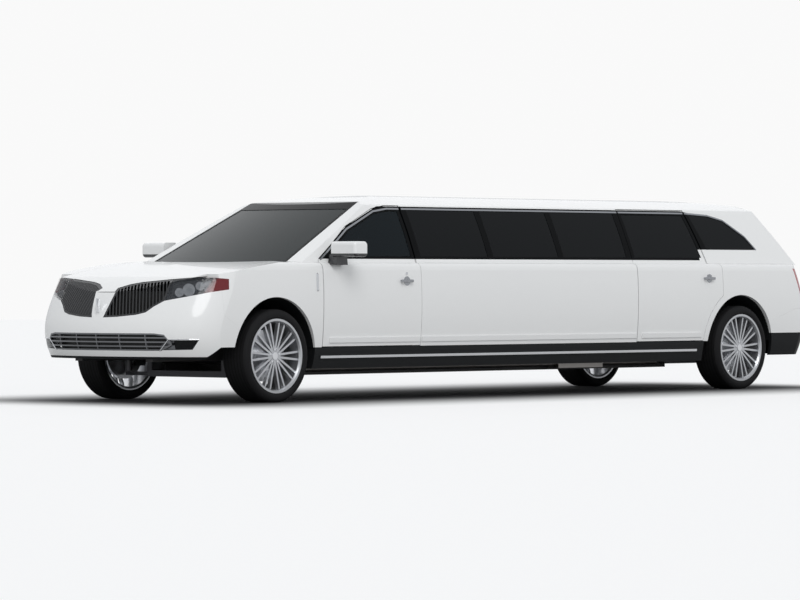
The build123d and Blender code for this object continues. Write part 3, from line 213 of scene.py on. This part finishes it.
# Upper edges of the dark band, each a line: place ahead of the front axle, height there, rise per metre
BAND_EDGES = (
    (-0.545, 1.143, -0.598),
    (-0.99, 1.412, -0.368),
    (-5.45, 1.590, 0.141),
    (-6.04, 1.505, 0.600),
    (-6.28, 1.363, 1.147),
)
BAND_HEIGHTS = (1.150, 1.586)
BAND_INNER_HALF = 0.60
# The band stops behind this place and below this height
QUARTER_STEP = (-5.53, 1.245)
# The windscreen's dark edge: half width at its foot, how much it narrows per metre of height, and its extent
SCREEN_HALF, SCREEN_FOOT, SCREEN_TAPER = 0.750, 1.150, 0.3004
SCREEN_LOWEST, SCREEN_BACK, SCREEN_FRONT = 1.125, -1.36, -0.20
PAINT_ROUGHNESS, PAINT_COAT = 0.22, 0.6
# Dark below these heights: a mirror's base, the rear bumper and the front one
MIRROR_BASE, REAR_VALANCE, FRONT_VALANCE = 1.192, 0.50, 0.372
POCKET_INNER_HALF = 0.69
# The lens is red behind this place at this height, which moves back by the slope per metre of height
LENS_SPLIT, LENS_SPLIT_HEIGHT, LENS_SPLIT_SLOPE = 0.653, 0.9375, 0.779
SLAT_METAL = 0.8
# Tyre tread: its middle and half width across the car, stripe turns per metre, and the sine level above which
# a stripe of painted groove shade is drawn
TREAD_MIDDLE, TREAD_HALF, GROOVE_TURNS, GROOVE_LEVEL = 0.828, 0.106, 190.0, 0.72


def band_mask(finish):
    """1 over the dark band of windows and posts along the cabin's side, 0 elsewhere."""
    x, y, z = finish.place()
    along = x - FRONT_AXLE
    foot, top = BAND_HEIGHTS
    mask = (abs(y) > BAND_INNER_HALF) * (z < top) * (z > foot)
    for place, height, rise in BAND_EDGES:
        mask = mask * ((z - height - (along - place) * rise) < 0)
    step, level = QUARTER_STEP
    return mask * (1 - (along < step) * (z < level))


def screen_mask(finish):
    """1 over the dark edge round the windscreen, 0 elsewhere."""
    x, y, z = finish.place()
    along = x - FRONT_AXLE
    inside = abs(y) - SCREEN_HALF + (z - SCREEN_FOOT) * SCREEN_TAPER < 0
    return inside * (z > SCREEN_LOWEST) * (along > SCREEN_BACK) * (along < SCREEN_FRONT)


def add(name, *args, **kwargs):
    """Makes a finish and keeps it under its name."""
    MATERIALS[name] = Finish(name, *args, **kwargs)
    return MATERIALS[name]


def paint_finishes(paint):
    """Painted skin, with its dark band, screen edge, mirror bases and lower bumpers."""
    body = add("pearl paint", paint, PAINT_ROUGHNESS, coat=PAINT_COAT)
    mask = 1 - (1 - band_mask(body)) * (1 - screen_mask(body))
    body.link(body.mix(mask, paint, GLOSS_BLACK), "Base Color")
    body.link(PAINT_COAT - mask * PAINT_COAT, "Coat Weight")
    body.set("Specular IOR Level", 0.05)

    mirror = add("mirror paint", paint, PAINT_ROUGHNESS, coat=PAINT_COAT)
    _, _, height = mirror.place()
    mirror.link(mirror.mix(height < MIRROR_BASE, paint, (0.03, 0.03, 0.032)), "Base Color")

    bumper = add("bumper paint", paint, PAINT_ROUGHNESS, coat=PAINT_COAT)
    x, _, height = bumper.place()
    low = (height < REAR_VALANCE) * (x < 0) + (height < FRONT_VALANCE) * (x > 0)
    bumper.link(bumper.mix(low, paint, PLASTIC_BLACK), "Base Color")
    bumper.link(low * 0.30 + PAINT_ROUGHNESS, "Roughness")
    bumper.link(PAINT_COAT - low * PAINT_COAT, "Coat Weight")
    bumper.set("Specular IOR Level", 0.15)


def trim_finishes():
    """Plastics, bright trim, castings and frame paint."""
    plastic = add("black plastic", PLASTIC_BLACK, 0.55)
    plastic.bump(plastic.noise(900.0), 0.15, 0.001)
    plastic.set("Specular IOR Level", 0.25)
    slats = add("dark chrome", SLAT_GREY, 0.30, metallic=SLAT_METAL)
    _, y, _ = slats.place()
    pocket = abs(y) > POCKET_INNER_HALF
    slats.link(slats.mix(pocket, SLAT_GREY, GLOSS_BLACK), "Base Color")
    slats.link(SLAT_METAL - pocket * SLAT_METAL, "Metallic")
    slats.set("Specular IOR Level", 0.2)
    add("gloss black", GLOSS_BLACK, 0.08, coat=0.3)
    add("cabin trim", (0.045, 0.043, 0.045), 0.6)
    add("frame paint", (0.03, 0.03, 0.03), 0.5)
    add("cast metal", (0.16, 0.16, 0.17), 0.6, metallic=0.7)
    add("exhaust steel", (0.42, 0.40, 0.38), 0.35, metallic=1.0)
    add("chrome", (0.82, 0.83, 0.85), 0.10, metallic=1.0)
    add("grey chrome", (0.42, 0.43, 0.45), 0.22, metallic=1.0)
    add("wheel silver", (0.60, 0.61, 0.63), 0.28, metallic=0.85, coat=0.3)
    add("brake grey", (0.22, 0.22, 0.23), 0.5, metallic=0.8)


def glass_and_lamp_finishes():
    """Window glass, lamps, mirrors' glass and the blank plate."""
    add("side glass", (0.004, 0.005, 0.006), 0.04, alpha=0.98)
    add("front door glass", (0.006, 0.010, 0.013), 0.04, alpha=0.88)
    add("screen glass", (0.006, 0.012, 0.013), 0.04, alpha=0.86)
    for glass in ("side glass", "front door glass", "screen glass"):
        MATERIALS[glass].set("Specular IOR Level", 0.12)
    clear, red = (0.10, 0.11, 0.125), (0.17, 0.006, 0.010)
    lens = add("lamp lens", clear, 0.05, coat=0.5)
    x, _, z = lens.place()
    outer = (x - FRONT_AXLE - LENS_SPLIT + (z - LENS_SPLIT_HEIGHT) * LENS_SPLIT_SLOPE) < 0
    lens.link(lens.mix(outer, clear, red), "Base Color")
    lens.link(outer * 0.65 + 0.22, "Alpha")
    add("lamp bowl", (0.62, 0.64, 0.67), 0.16, metallic=1.0)
    add("tail red", (0.42, 0.010, 0.012), 0.10, coat=0.5)
    add("mirror glass", (0.55, 0.58, 0.60), 0.03, metallic=1.0)
    add("blank plate", (0.62, 0.62, 0.60), 0.4)


def textured_finishes():
    """Tyre rubber, its tread striped with painted groove shade, seat leather and grille mesh."""
    tyre = add("tyre rubber", RUBBER_BLACK, 0.80)
    tyre.set("Specular IOR Level", 0.25)
    _, y, _ = tyre.place()
    tread = abs(abs(y) - TREAD_MIDDLE) < TREAD_HALF
    # Painted shade: darker stripes round the tread where shade would fall in its groove recesses, which the
    # mesh does not have
    groove_shade = (((abs(y) - TREAD_MIDDLE) * GROOVE_TURNS).sine() > GROOVE_LEVEL) * tread
    tyre.link(tyre.mix(groove_shade, RUBBER_BLACK, (0.003, 0.003, 0.003)), "Base Color")

    leather = add("seat leather", (0.028, 0.027, 0.028), 0.42)
    leather.bump(leather.noise(260.0), 0.25, 0.002)

    mesh = add("grille mesh", (0.030, 0.031, 0.033), 0.4)
    mesh.bump(mesh.noise(420.0), 0.2, 0.001)


def make_materials(sizes):
    """Fills MATERIALS with every finish of the car."""
    paint_finishes(tuple(sizes.paint_color))
    trim_finishes()
    glass_and_lamp_finishes()
    textured_finishes()


SLOT_FINISH = {
    "body_paint": "pearl paint",
    "black_plastic": "black plastic",
    "tinted_glass": "side glass",
    "lamp_lens": "lamp lens",
    "tail_lens": "tail red",
    "wheel_silver": "wheel silver",
    "tyre": "tyre rubber",
    "seat_leather": "seat leather",
    "cabin_trim": "cabin trim",
    "cast_metal": "cast metal",
    "frame_paint": "frame paint",
    "exhaust_steel": "exhaust steel",
}
NODE_FINISH = {
    "windshield": "screen glass",
    "front_left_glass": "front door glass",
    "front_right_glass": "front door glass",
    "left_mirror": "mirror paint",
    "right_mirror": "mirror paint",
    "front_bumper": "bumper paint",
    "rear_bumper": "bumper paint",
    "grille_wings": "grille mesh",
    "lower_grille": "dark chrome",
    "left_knuckle": "brake grey",
    "right_knuckle": "brake grey",
}


# Shapes

def finish_piece(name, bm, body, material, smooth=True):
    """Makes an object of a bmesh, at the origin, on a body."""
    bmesh.ops.remove_doubles(bm, verts=bm.verts, dist=1e-5)
    bmesh.ops.recalc_face_normals(bm, faces=bm.faces)
    name = name.replace(" ", "_")
    mesh = bpy.data.meshes.new(name)
    bm.to_mesh(mesh)
    bm.free()
    piece = bpy.data.objects.new(name, mesh)
    bpy.context.scene.collection.objects.link(piece)
    mesh.materials.append(MATERIALS[material].material)
    if smooth:
        mesh.shade_smooth()
        mesh.set_sharp_from_angle(angle=math.radians(35))
    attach(piece, body)
    return piece


def new_block(bm, low, high, round_edge=0.0, segments=2):
    """Box between two corners, with rounded edges."""
    low, high = Vector(low), Vector(high)
    size = high - low
    place = Matrix.Translation((low + high) / 2) @ Matrix.Diagonal((*size, 1.0))
    made = bmesh.ops.create_cube(bm, size=1.0, matrix=place)
    if round_edge > 0:
        edges = list({e for v in made["verts"] for e in v.link_edges})
        bmesh.ops.bevel(bm, geom=edges, offset=round_edge, segments=segments, affect="EDGES", profile=0.5,
                        material=-1)


def new_rod(bm, start, end, radius, end_radius=None, segments=24):
    """Closed rod or cone between two points."""
    start, end = Vector(start), Vector(end)
    way = end - start
    turn = way.to_track_quat("Z", "Y").to_matrix().to_4x4()
    place = Matrix.Translation((start + end) / 2) @ turn
    far_radius = radius if end_radius is None else end_radius
    bmesh.ops.create_cone(bm, cap_ends=True, segments=segments, radius1=radius, radius2=far_radius,
                          depth=way.length, matrix=place)


def new_ring(bm, centre, axis, radius, width, height, segments=48):
    """Ring of rectangular section about an axis through a centre."""
    axis = Vector(axis).normalized()
    across = axis.orthogonal().normalized()
    corners = []
    for out, up in ((0, 0), (width, 0), (width, height), (0, height)):
        corners.append(bm.verts.new(Vector(centre) + across * (radius + out) + axis * up))
    face = bm.faces.new(corners)
    bmesh.ops.spin(bm, geom=[face], cent=centre, axis=axis, angle=2 * math.pi, steps=segments, use_merge=True)


def new_strip(bm, outline, width, half_at, lift, thick):
    """Thin strip along a side-view outline of (x, z), wrapped on the car's side and given a thickness."""
    points = []
    for (x0, z0), (x1, z1) in zip(outline, outline[1:]):
        steps = max(1, int(math.hypot(x1 - x0, z1 - z0) / 0.08))
        points += [(x0 + (x1 - x0) * i / steps, z0 + (z1 - z0) * i / steps) for i in range(steps)]
    points.append(outline[-1])
    chain = [bm.verts.new((x, 0, z)) for x, z in points]
    edges = [bm.edges.new(pair) for pair in zip(chain, chain[1:])]
    sides = []
    for i, vert in enumerate(chain):
        before, after = chain[max(i - 1, 0)].co, chain[min(i + 1, len(chain) - 1)].co
        along = (after - before).normalized()
        sides.append(Vector((-along.z, 0, along.x)))
    made = bmesh.ops.extrude_edge_only(bm, edges=edges)["geom"]
    moved = [v for v in made if isinstance(v, bmesh.types.BMVert)]
    for vert in moved:
        nearest = min(range(len(chain)), key=lambda i: (chain[i].co - vert.co).length)
        vert.co += sides[nearest] * width
    faces = [f for f in made if isinstance(f, bmesh.types.BMFace)]
    for vert in {v for f in faces for v in f.verts}:
        vert.co.y = half_at(vert.co.z) + lift
    bmesh.ops.recalc_face_normals(bm, faces=faces)
    bmesh.ops.solidify(bm, geom=faces, thickness=-thick)


BODY_SIDES = ("body", "body")
FRONT_DOORS = ("front_left_door", "front_right_door")
REAR_DOORS = ("rear_left_door", "rear_right_door")


def side_pair(name, build, material, bodies=BODY_SIDES):
    """Like pieces on the left and right sides, each on its own body."""
    for side, body in zip(("left", "right"), bodies):
        bm = bmesh.new()
        build(bm)
        if side == "right":
            bmesh.ops.scale(bm, vec=(1, -1, 1), verts=bm.verts)
        finish_piece(f"{side} {name}", bm, body, material)


# Settings

class StretchedCarSizes(bpy.types.PropertyGroup):
    """Sizes and colours that a user may change."""

    paint_color: FloatVectorProperty(name="Paint", description="Colour of the body paint", default=PEARL,
                                     subtype="COLOR", size=3, min=0.0, max=1.0)
    cushion_crown: FloatProperty(name="Cushion crown", description="Rise of a cushion's middle",
                                 default=0.022, unit="LENGTH", min=0.0, max=0.04)
    trim_width: FloatProperty(name="Window trim", description="Width of the bright strip round the windows",
                              default=0.014, unit="LENGTH", min=0.004, max=0.03)
    nut_radius: FloatProperty(name="Wheel nut", description="Radius of a wheel nut", default=0.011,
                              unit="LENGTH", min=0.006, max=0.02)


class CarOperator:
    """What every operator of the car shares."""

    bl_options = {"REGISTER", "UNDO"}

    def execute(self, context):
        self.make(context.scene.stretched_car)
        return {"FINISHED"}


class STRETCHED_OT_finishes(CarOperator, bpy.types.Operator):
    """Give every part of the frame its finish"""

    bl_idname = "stretched.finishes"
    bl_label = "Finishes"

    def make(self, sizes):
        make_materials(sizes)
        slots = {entry["node"]: entry["material_slot"] for entry in frame["record"]["subparts"]}
        for name, node in NODES.items():
            finish = NODE_FINISH.get(name, SLOT_FINISH[slots[name]])
            node.data.materials.clear()
            node.data.materials.append(MATERIALS[finish].material)


class STRETCHED_OT_seats(CarOperator, bpy.types.Operator):
    """Crowned cushions in place of the plain seats"""

    bl_idname = "stretched.seats"
    bl_label = "Seats"

    def cushion(self, low, high, crown, seams, axis, lean=0.0):
        """Rounded cushion, its top or face crowned between seams, leaning back with height."""
        low, high = Vector(low), Vector(high)
        size = high - low
        bm = bmesh.new()
        new_block(bm, low, high, min(size) * 0.22, 3)
        bmesh.ops.subdivide_edges(bm, edges=[e for e in bm.edges if e.calc_length() > 0.12], cuts=10,
                                  use_grid_fill=True)
        long_axis = 0 if size.x > size.y else 1
        for vert in bm.verts:
            share = vert.co - low
            along = share[long_axis] / size[long_axis] * seams
            bulge = abs(math.sin(math.pi * along)) ** 0.5
            up = max(0.0, min(1.0, share.z / size.z))
            if axis == 2:
                vert.co.z += crown * bulge * (up - 0.5)
            else:
                face = max(0.0, min(1.0, share[axis] / size[axis]))
                vert.co[axis] += crown * bulge * (face - 0.5)
            vert.co.x -= lean * up
        return bm

    def make(self, sizes):
        crown = sizes.cushion_crown
        x, seat_y = ahead(-1.18), 0.39
        for side, y in (("left", seat_y), ("right", -seat_y)):
            bm = self.cushion((x - 0.50, y - 0.25, 0.43), (x - 0.01, y + 0.25, 0.625), crown, 2, 2)
            back = self.cushion((x - 0.49, y - 0.24, 0.60), (x - 0.36, y + 0.24, 1.02), crown, 2, 0, 0.09)
            head = self.cushion((x - 0.58, y - 0.13, 1.04), (x - 0.48, y + 0.13, 1.21), 0.01, 1, 0, 0.02)
            for part in (back, head):
                mesh = bpy.data.meshes.new("part")
                part.to_mesh(mesh)
                part.free()
                bm.from_mesh(mesh)
                bpy.data.meshes.remove(mesh)
            for post in (y - 0.06, y + 0.06):
                new_rod(bm, (x - 0.54, post, 0.98), (x - 0.54, post, 1.10), 0.007)
            seat = finish_piece(f"{side} front seat", bm, "body", "seat leather")
            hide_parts("front_cushions")
        rows = (("lounge_seat", "lounge seat cushion", 6, 2), ("lounge_back", "lounge back cushion", 6, 1),
                ("rear_seat", "rear seat cushion", 3, 2), ("rear_back", "rear back cushion", 3, 0))
        for node, name, seams, axis in rows:
            low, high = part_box(node)
            edge = Vector((0.004, 0.004, 0.002))
            bm = self.cushion(low + edge, high - edge - Vector((0, 0, crown / 2)), crown, seams, axis)
            piece = finish_piece(name, bm, "body", "seat leather")
            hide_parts(node)


class STRETCHED_OT_side_trim(CarOperator, bpy.types.Operator):
    """Bright strips round the windows and along the sills, and the doors' ledges"""

    bl_idname = "stretched.side_trim"
    bl_label = "Side trim"

    def make(self, sizes):
        width = sizes.trim_width
        top = 1.572

        def strip(points, half_at=cabin_half, lift=0.0005, thick=0.004, wide=width):
            return lambda bm: new_strip(bm, points, wide, half_at, lift, thick)

        front = [(ahead(-0.575), 1.150), (ahead(-0.99), 1.398), (ahead(-1.39), 1.548), (ahead(-1.57), top),
                 (ahead(-1.722), top)]
        tail = [(REAR_AXLE + 0.520, top), (REAR_AXLE + 0.20, 1.556), (REAR_AXLE + 0.003, 1.514),
                (REAR_AXLE - 0.237, 1.369), (REAR_AXLE - 0.345, 1.250)]
        for label, outline, bodies in (
                ("front door", front, FRONT_DOORS),
                ("rear door", [(REAR_AXLE + 1.452, top), (REAR_AXLE + 0.545, top)], REAR_DOORS),
                ("stretch", [(ahead(-1.752), top), (REAR_AXLE + 1.472, top)], BODY_SIDES),
                ("quarter", tail, BODY_SIDES)):
            side_pair(f"{label} window trim", strip(outline), "grey chrome", bodies)
        for label, start, end, bodies in (
                ("front door", ahead(-0.630), ahead(-1.730), FRONT_DOORS),
                ("stretch", ahead(-1.752), REAR_AXLE + 1.480, BODY_SIDES),
                ("rear door", REAR_AXLE + 1.400, REAR_AXLE + 0.570, REAR_DOORS)):
            ledge = strip([(start, 0.512), (end, 0.512)], side_half, -0.001, 0.010, 0.040)
            side_pair(f"{label} ledge", ledge, "pearl paint", bodies)
        sill = [(ahead(-0.535), 0.368), (REAR_AXLE + 0.62, 0.368)]
        side_pair("sill strip", strip(sill, side_half, 0.0005, 0.010, 0.020), "chrome")


class STRETCHED_OT_handles(CarOperator, bpy.types.Operator):
    """Pull handles with their round plates"""

    bl_idname = "stretched.handles"
    bl_label = "Door handles"

    def make(self, sizes):
        grip_back, grip_front, grip_half = -0.055, 0.085, 0.012
        feet, foot_half = ((-0.050, -0.032), (0.062, 0.080)), 0.009
        plate_radius, lock_radius, lock_above = 0.038, 0.010, 0.062
        for row, x, z, doors in (("front", ahead(-1.56), 0.97, FRONT_DOORS),
                                 ("rear", REAR_AXLE + 0.46, 0.99, REAR_DOORS)):
            skin = side_half(z)

            def build(bm, x=x, z=z, skin=skin):
                new_rod(bm, (x, skin - 0.003, z), (x, skin + 0.004, z), plate_radius, segments=32)
                new_block(bm, (x + grip_back, skin + 0.018, z - grip_half),
                          (x + grip_front, skin + 0.032, z + grip_half), 0.006, 3)
                for back, ahead_end in feet:
                    new_block(bm, (x + back, skin - 0.001, z - foot_half),
                              (x + ahead_end, skin + 0.022, z + foot_half), 0.003)

            side_pair(f"{row} door handle", build, "grey chrome", doors)

            def lock(bm, x=x, z=z + lock_above, skin=skin):
                new_rod(bm, (x, skin - 0.002, z), (x, skin + 0.003, z), lock_radius, segments=20)

            if row == "front":
                side_pair("front door lock", lock, "chrome", doors)


# Lamp bowls: place ahead of the front axle, to the left, up, and radius
LAMP_BOWLS = ((0.745, 0.600, 0.880, 0.036), (0.700, 0.660, 0.900, 0.050), (0.640, 0.725, 0.930, 0.036),
              (0.590, 0.770, 0.925, 0.045))
LAMP_WAY = Vector((0.743, 0.500, 0.02))
LAMP_OUTLINE = ((0.800, 0.560, 0.835), (0.585, 0.845, 0.885), (0.500, 0.880, 0.905), (0.490, 0.860, 0.975),
                (0.585, 0.820, 0.980), (0.735, 0.660, 0.970), (0.785, 0.560, 0.955))
# Bright edge of a fog pocket: place across the bumper's corner, and height
POCKET_EDGE = ((-0.200, 0.420), (-0.207, 0.445), (-0.196, 0.474), (-0.165, 0.497), (-0.132, 0.510),
               (-0.05, 0.511), (0.03, 0.511), (0.112, 0.510))


class STRETCHED_OT_nose(CarOperator, bpy.types.Operator):
    """Lamp units behind the lenses, fender vents, grille backings, fog pocket edges and the blank bar"""

    bl_idname = "stretched.nose"
    bl_label = "Nose"

    def make(self, sizes):
        def bowl(bm):
            for x, y, z, radius in LAMP_BOWLS:
                centre = Vector((ahead(x), y, z))
                new_rod(bm, centre - LAMP_WAY * 0.09, centre + LAMP_WAY * 0.002, radius * 0.6, radius,
                        segments=32)

        def projector(bm):
            for x, y, z, bowl_radius in LAMP_BOWLS:
                centre, radius = Vector((ahead(x), y, z)), bowl_radius * 0.55
                new_rod(bm, centre - LAMP_WAY * 0.02, centre + LAMP_WAY * 0.010, radius, radius * 0.8,
                        segments=32)

        def back_plate(bm):
            behind, inward = 0.035, 0.025
            verts = [bm.verts.new((ahead(x) - behind, y - inward, z)) for x, y, z in LAMP_OUTLINE]
            face = bm.faces.new(verts)
            bmesh.ops.solidify(bm, geom=[face], thickness=0.004)

        side_pair("headlamp bowls", bowl, "lamp bowl")
        side_pair("headlamp projectors", projector, "mirror glass")
        side_pair("headlamp back", back_plate, "black plastic")

        def vent(bm):
            new_strip(bm, [(ahead(-0.466), 0.893), (ahead(-0.466), 1.030)], 0.024, side_half, 0.001, 0.006)

        def vent_slot(bm):
            new_strip(bm, [(ahead(-0.478), 0.888), (ahead(-0.478), 1.035)], 0.010, side_half, 0.001, 0.004)

        side_pair("fender vent", vent, "chrome")
        side_pair("fender vent slot", vent_slot, "gloss black")

        def backing(low, high, half, inset, slope):
            bm = bmesh.new()
            steps, nose_bow = 16, 3.4
            rows = []
            for i in range(steps + 1):
                y = half * (2 * i / steps - 1)
                rows.append([bm.verts.new((NOSE_X - inset - slope * (z - low) - y * y / nose_bow, y, z))
                             for z in (low, high)])
            faces = [bm.faces.new((a[0], b[0], b[1], a[1])) for a, b in zip(rows, rows[1:])]
            bmesh.ops.solidify(bm, geom=faces, thickness=0.003)
            return bm

        # Foot, top, half width, distance behind the nose, and slope back per metre of height
        for label, *plate in (("upper", 0.680, 0.890, 0.56, 0.095, 0.45),
                              ("lower", 0.415, 0.560, 0.62, 0.110, 0.0)):
            finish_piece(f"{label} grille backing", backing(*plate), "body", "frame paint")

        def pocket_edge(bm):
            across, out = Vector((-0.669, 0.743, 0)), Vector((0.743, 0.669, 0))
            skin = NODES["front_bumper"]
            hits = []
            for u, z in POCKET_EDGE:
                start = Vector((FRONT_AXLE, 0, z)) + across * u + out * 2.0
                hit, place, _, _ = skin.ray_cast(start, -out)
                if hit:
                    hits.append(place)
            for first, second in zip(hits, hits[1:]):
                new_rod(bm, first, second, 0.0045, segments=12)

        side_pair("fog pocket edge", pocket_edge, "chrome")

        bm = bmesh.new()
        new_block(bm, (4.118, -0.010, 0.724), (4.150, 0.010, 0.836), 0.005, 3)
        finish_piece("blank nose bar", bm, "body", "chrome")


class STRETCHED_OT_wheels(CarOperator, bpy.types.Operator):
    """Centre caps, nuts and bright lips of the wheels"""

    bl_idname = "stretched.wheels"
    bl_label = "Wheel fittings"

    def make(self, sizes):
        face, lip_face, lip_radius = 0.098, 0.1225, 0.282
        cap_radius, nut_circle, nuts = 0.034, 0.053, 5
        for label, (x, side, half) in HUBS.items():
            bm = bmesh.new()
            y = half + face
            new_rod(bm, (x, y - 0.004, WHEEL_Z), (x, y + 0.010, WHEEL_Z), cap_radius, 0.030, segments=40)
            for turn in range(nuts):
                angle = math.radians(360 / nuts * turn + 18)
                nut = Vector((x, y - 0.002, WHEEL_Z))
                nut += Vector((math.cos(angle), 0, math.sin(angle))) * nut_circle
                new_rod(bm, nut, nut + Vector((0, 0.010, 0)), sizes.nut_radius, sizes.nut_radius * 0.85,
                        segments=6)
            new_ring(bm, Vector((x, half + lip_face, WHEEL_Z)), (0, 1, 0), lip_radius, 0.012, 0.003, 72)
            if side < 0:
                bmesh.ops.scale(bm, vec=(1, -1, 1), verts=bm.verts)
            finish_piece(f"{label} wheel fittings", bm, f"{label}_wheel", "chrome")


class STRETCHED_OT_tail(CarOperator, bpy.types.Operator):
    """Roof spoiler, rear plate, tail pipes, mirrors' glass and the rear arch walls"""

    bl_idname = "stretched.tail"
    bl_label = "Tail and fittings"

    def make(self, sizes):
        bm = bmesh.new()
        spoiler_back, spoiler_depth, spoiler_rise = ahead(-6.70), 0.15, 0.035
        new_block(bm, (spoiler_back, -0.55, 1.545), (ahead(-6.55), 0.55, 1.575), 0.010, 3)
        for vert in bm.verts:
            vert.co.z += spoiler_rise * (vert.co.x - spoiler_back) / spoiler_depth
        finish_piece("roof spoiler", bm, "liftgate", "gloss black")
        bm = bmesh.new()
        new_block(bm, (-4.152, -0.26, 0.86), (-4.128, 0.26, 0.98), 0.004)
        finish_piece("blank rear plate", bm, "liftgate", "blank plate")

        def tail_pipe(bm):
            y, z = 0.52, 0.335
            new_ring(bm, Vector((-4.120, y, z)), (-1, 0, 0), 0.036, 0.004, 0.038, 40)
            new_rod(bm, (-4.10, y, z), (-4.06, y, z), 0.037)

        side_pair("tail pipe", tail_pipe, "chrome")

        def mirror_face(bm):
            new_block(bm, (ahead(-0.8035), 0.985, 1.195), (ahead(-0.797), 1.185, 1.270), 0.003)

        side_pair("mirror face", mirror_face, "mirror glass", FRONT_DOORS)

        def arch_wall(bm):
            for x0, x1 in ((-0.43, -0.13), (0.13, 0.43)):
                new_block(bm, (REAR_AXLE + x0, 0.555, 0.50), (REAR_AXLE + x1, 0.560, 0.78))

        side_pair("arch wall", arch_wall, "black plastic")


FLOOR_COLOR = (0.74, 0.74, 0.735)
FLOOR_GLOW = (0.26, 0.26, 0.262)
# The painted shadow under the car: full up to the first distance from its middle, gone at the second
SHADE_COLOR = (0.03, 0.03, 0.032)
SHADE_LENGTH = (3.7, 5.2)
SHADE_WIDTH = (0.7, 2.7)
# Suns: name, way to the sun, strength, angle across it
SUNS = (("key light", (0.62, 0.85, 0.80), 0.95, 0.5), ("fill light", (-0.7, -0.8, 0.9), 0.45, 1.2))
# The camera: its lens (4650 px over a picture of 800 px, on a 36 mm sensor), where it stands, what it faces
CAMERA_LENS = 4650 / 800 * 36
CAMERA_YAW, CAMERA_PITCH = math.radians(48.1), math.radians(0.28)
CAMERA_DISTANCE, CAMERA_HEIGHT, CAMERA_AIM = 39.6, 1.0, -2.534


class STRETCHED_OT_stage(CarOperator, bpy.types.Operator):
    """Pale floor with a painted shadow under the car, soft light and the camera"""

    bl_idname = "stretched.stage"
    bl_label = "Stage"

    def make(self, sizes):
        scene = bpy.context.scene
        bm = bmesh.new()
        bmesh.ops.create_circle(bm, cap_ends=True, segments=96, radius=70.0)
        mesh = bpy.data.meshes.new("floor")
        bm.to_mesh(mesh)
        bm.free()
        floor = bpy.data.objects.new("floor", mesh)
        scene.collection.objects.link(floor)
        pale = Finish("floor", FLOOR_COLOR, 0.9)
        x, y, _ = pale.place()
        # Painted shadow: the floor's colour and its glow for the camera turn dark under the car
        under = abs(x).fade(*SHADE_LENGTH) * abs(y).fade(*SHADE_WIDTH)
        pale.link(pale.mix(under, FLOOR_COLOR, SHADE_COLOR), "Base Color")
        seen = Number(pale, pale.node("ShaderNodeLightPath", {}, {}).outputs["Is Camera Ray"])
        glow = pale.mix(under, FLOOR_GLOW, (0.0, 0.0, 0.0))
        lit = pale.node("ShaderNodeMix", {"data_type": "RGBA"}, {0: seen, 6: (0, 0, 0, 1), 7: glow})
        pale.link(lit.outputs[2], "Emission Color")
        pale.set("Emission Strength", 1.0)
        mesh.materials.append(pale.material)

        world = bpy.data.worlds.new("studio")
        world.use_nodes = True
        scene.world = world
        tree = world.node_tree
        sky = tree.nodes["Background"]
        path = tree.nodes.new("ShaderNodeLightPath")
        far = tree.nodes.new("ShaderNodeBackground")
        far.inputs[0].default_value = (0.95, 0.95, 0.95, 1)
        sky.inputs[0].default_value = (0.95, 0.97, 1.0, 1)
        sky.inputs[1].default_value = 0.62
        mix = tree.nodes.new("ShaderNodeMixShader")
        tree.links.new(path.outputs["Is Camera Ray"], mix.inputs[0])
        tree.links.new(sky.outputs[0], mix.inputs[1])
        tree.links.new(far.outputs[0], mix.inputs[2])
        tree.links.new(mix.outputs[0], tree.nodes["World Output"].inputs[0])

        for name, source, energy, angle in SUNS:
            lamp = bpy.data.lights.new(name, "SUN")
            lamp.energy = energy
            lamp.angle = angle
            holder = bpy.data.objects.new(name, lamp)
            holder.rotation_mode = "QUATERNION"
            holder.rotation_quaternion = (-Vector(source)).to_track_quat("-Z", "Y")
            scene.collection.objects.link(holder)

        camera = bpy.data.cameras.new("camera")
        camera.lens = CAMERA_LENS
        camera.clip_end = 400.0
        holder = bpy.data.objects.new("camera", camera)
        out = Vector((math.sin(CAMERA_YAW), math.cos(CAMERA_YAW), 0))
        holder.location = Vector((ahead(CAMERA_AIM), 0, CAMERA_HEIGHT)) + out * CAMERA_DISTANCE
        look = -out - Vector((0, 0, math.tan(CAMERA_PITCH)))
        holder.rotation_mode = "QUATERNION"
        holder.rotation_quaternion = look.to_track_quat("-Z", "Y")
        scene.collection.objects.link(holder)
        scene.camera = holder
        scene.view_settings.view_transform = "Standard"


class STRETCHED_PT_panel(bpy.types.Panel):
    """The car's pieces and sizes"""

    bl_label = "Stretched Car"
    bl_idname = "STRETCHED_PT_panel"
    bl_space_type = "VIEW_3D"
    bl_region_type = "UI"
    bl_category = "Stretched Car"

    def draw(self, context):
        sizes = context.scene.stretched_car
        for name in sizes.__annotations__:
            self.layout.prop(sizes, name)
        for operator in OPERATORS:
            self.layout.operator(operator.bl_idname)


OPERATORS = (STRETCHED_OT_finishes, STRETCHED_OT_seats, STRETCHED_OT_side_trim, STRETCHED_OT_handles,
             STRETCHED_OT_nose, STRETCHED_OT_wheels, STRETCHED_OT_tail, STRETCHED_OT_stage)
CLASSES = (StretchedCarSizes, *OPERATORS, STRETCHED_PT_panel)


def register():
    for cls in CLASSES:
        bpy.utils.register_class(cls)
    bpy.types.Scene.stretched_car = PointerProperty(type=StretchedCarSizes)


def unregister():
    del bpy.types.Scene.stretched_car
    for cls in reversed(CLASSES):
        bpy.utils.unregister_class(cls)


def main():
    """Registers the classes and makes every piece."""
    register()
    for operator in OPERATORS:
        group, name = operator.bl_idname.split(".")
        getattr(getattr(bpy.ops, group), name)()


if __name__ == "__main__":
    main()
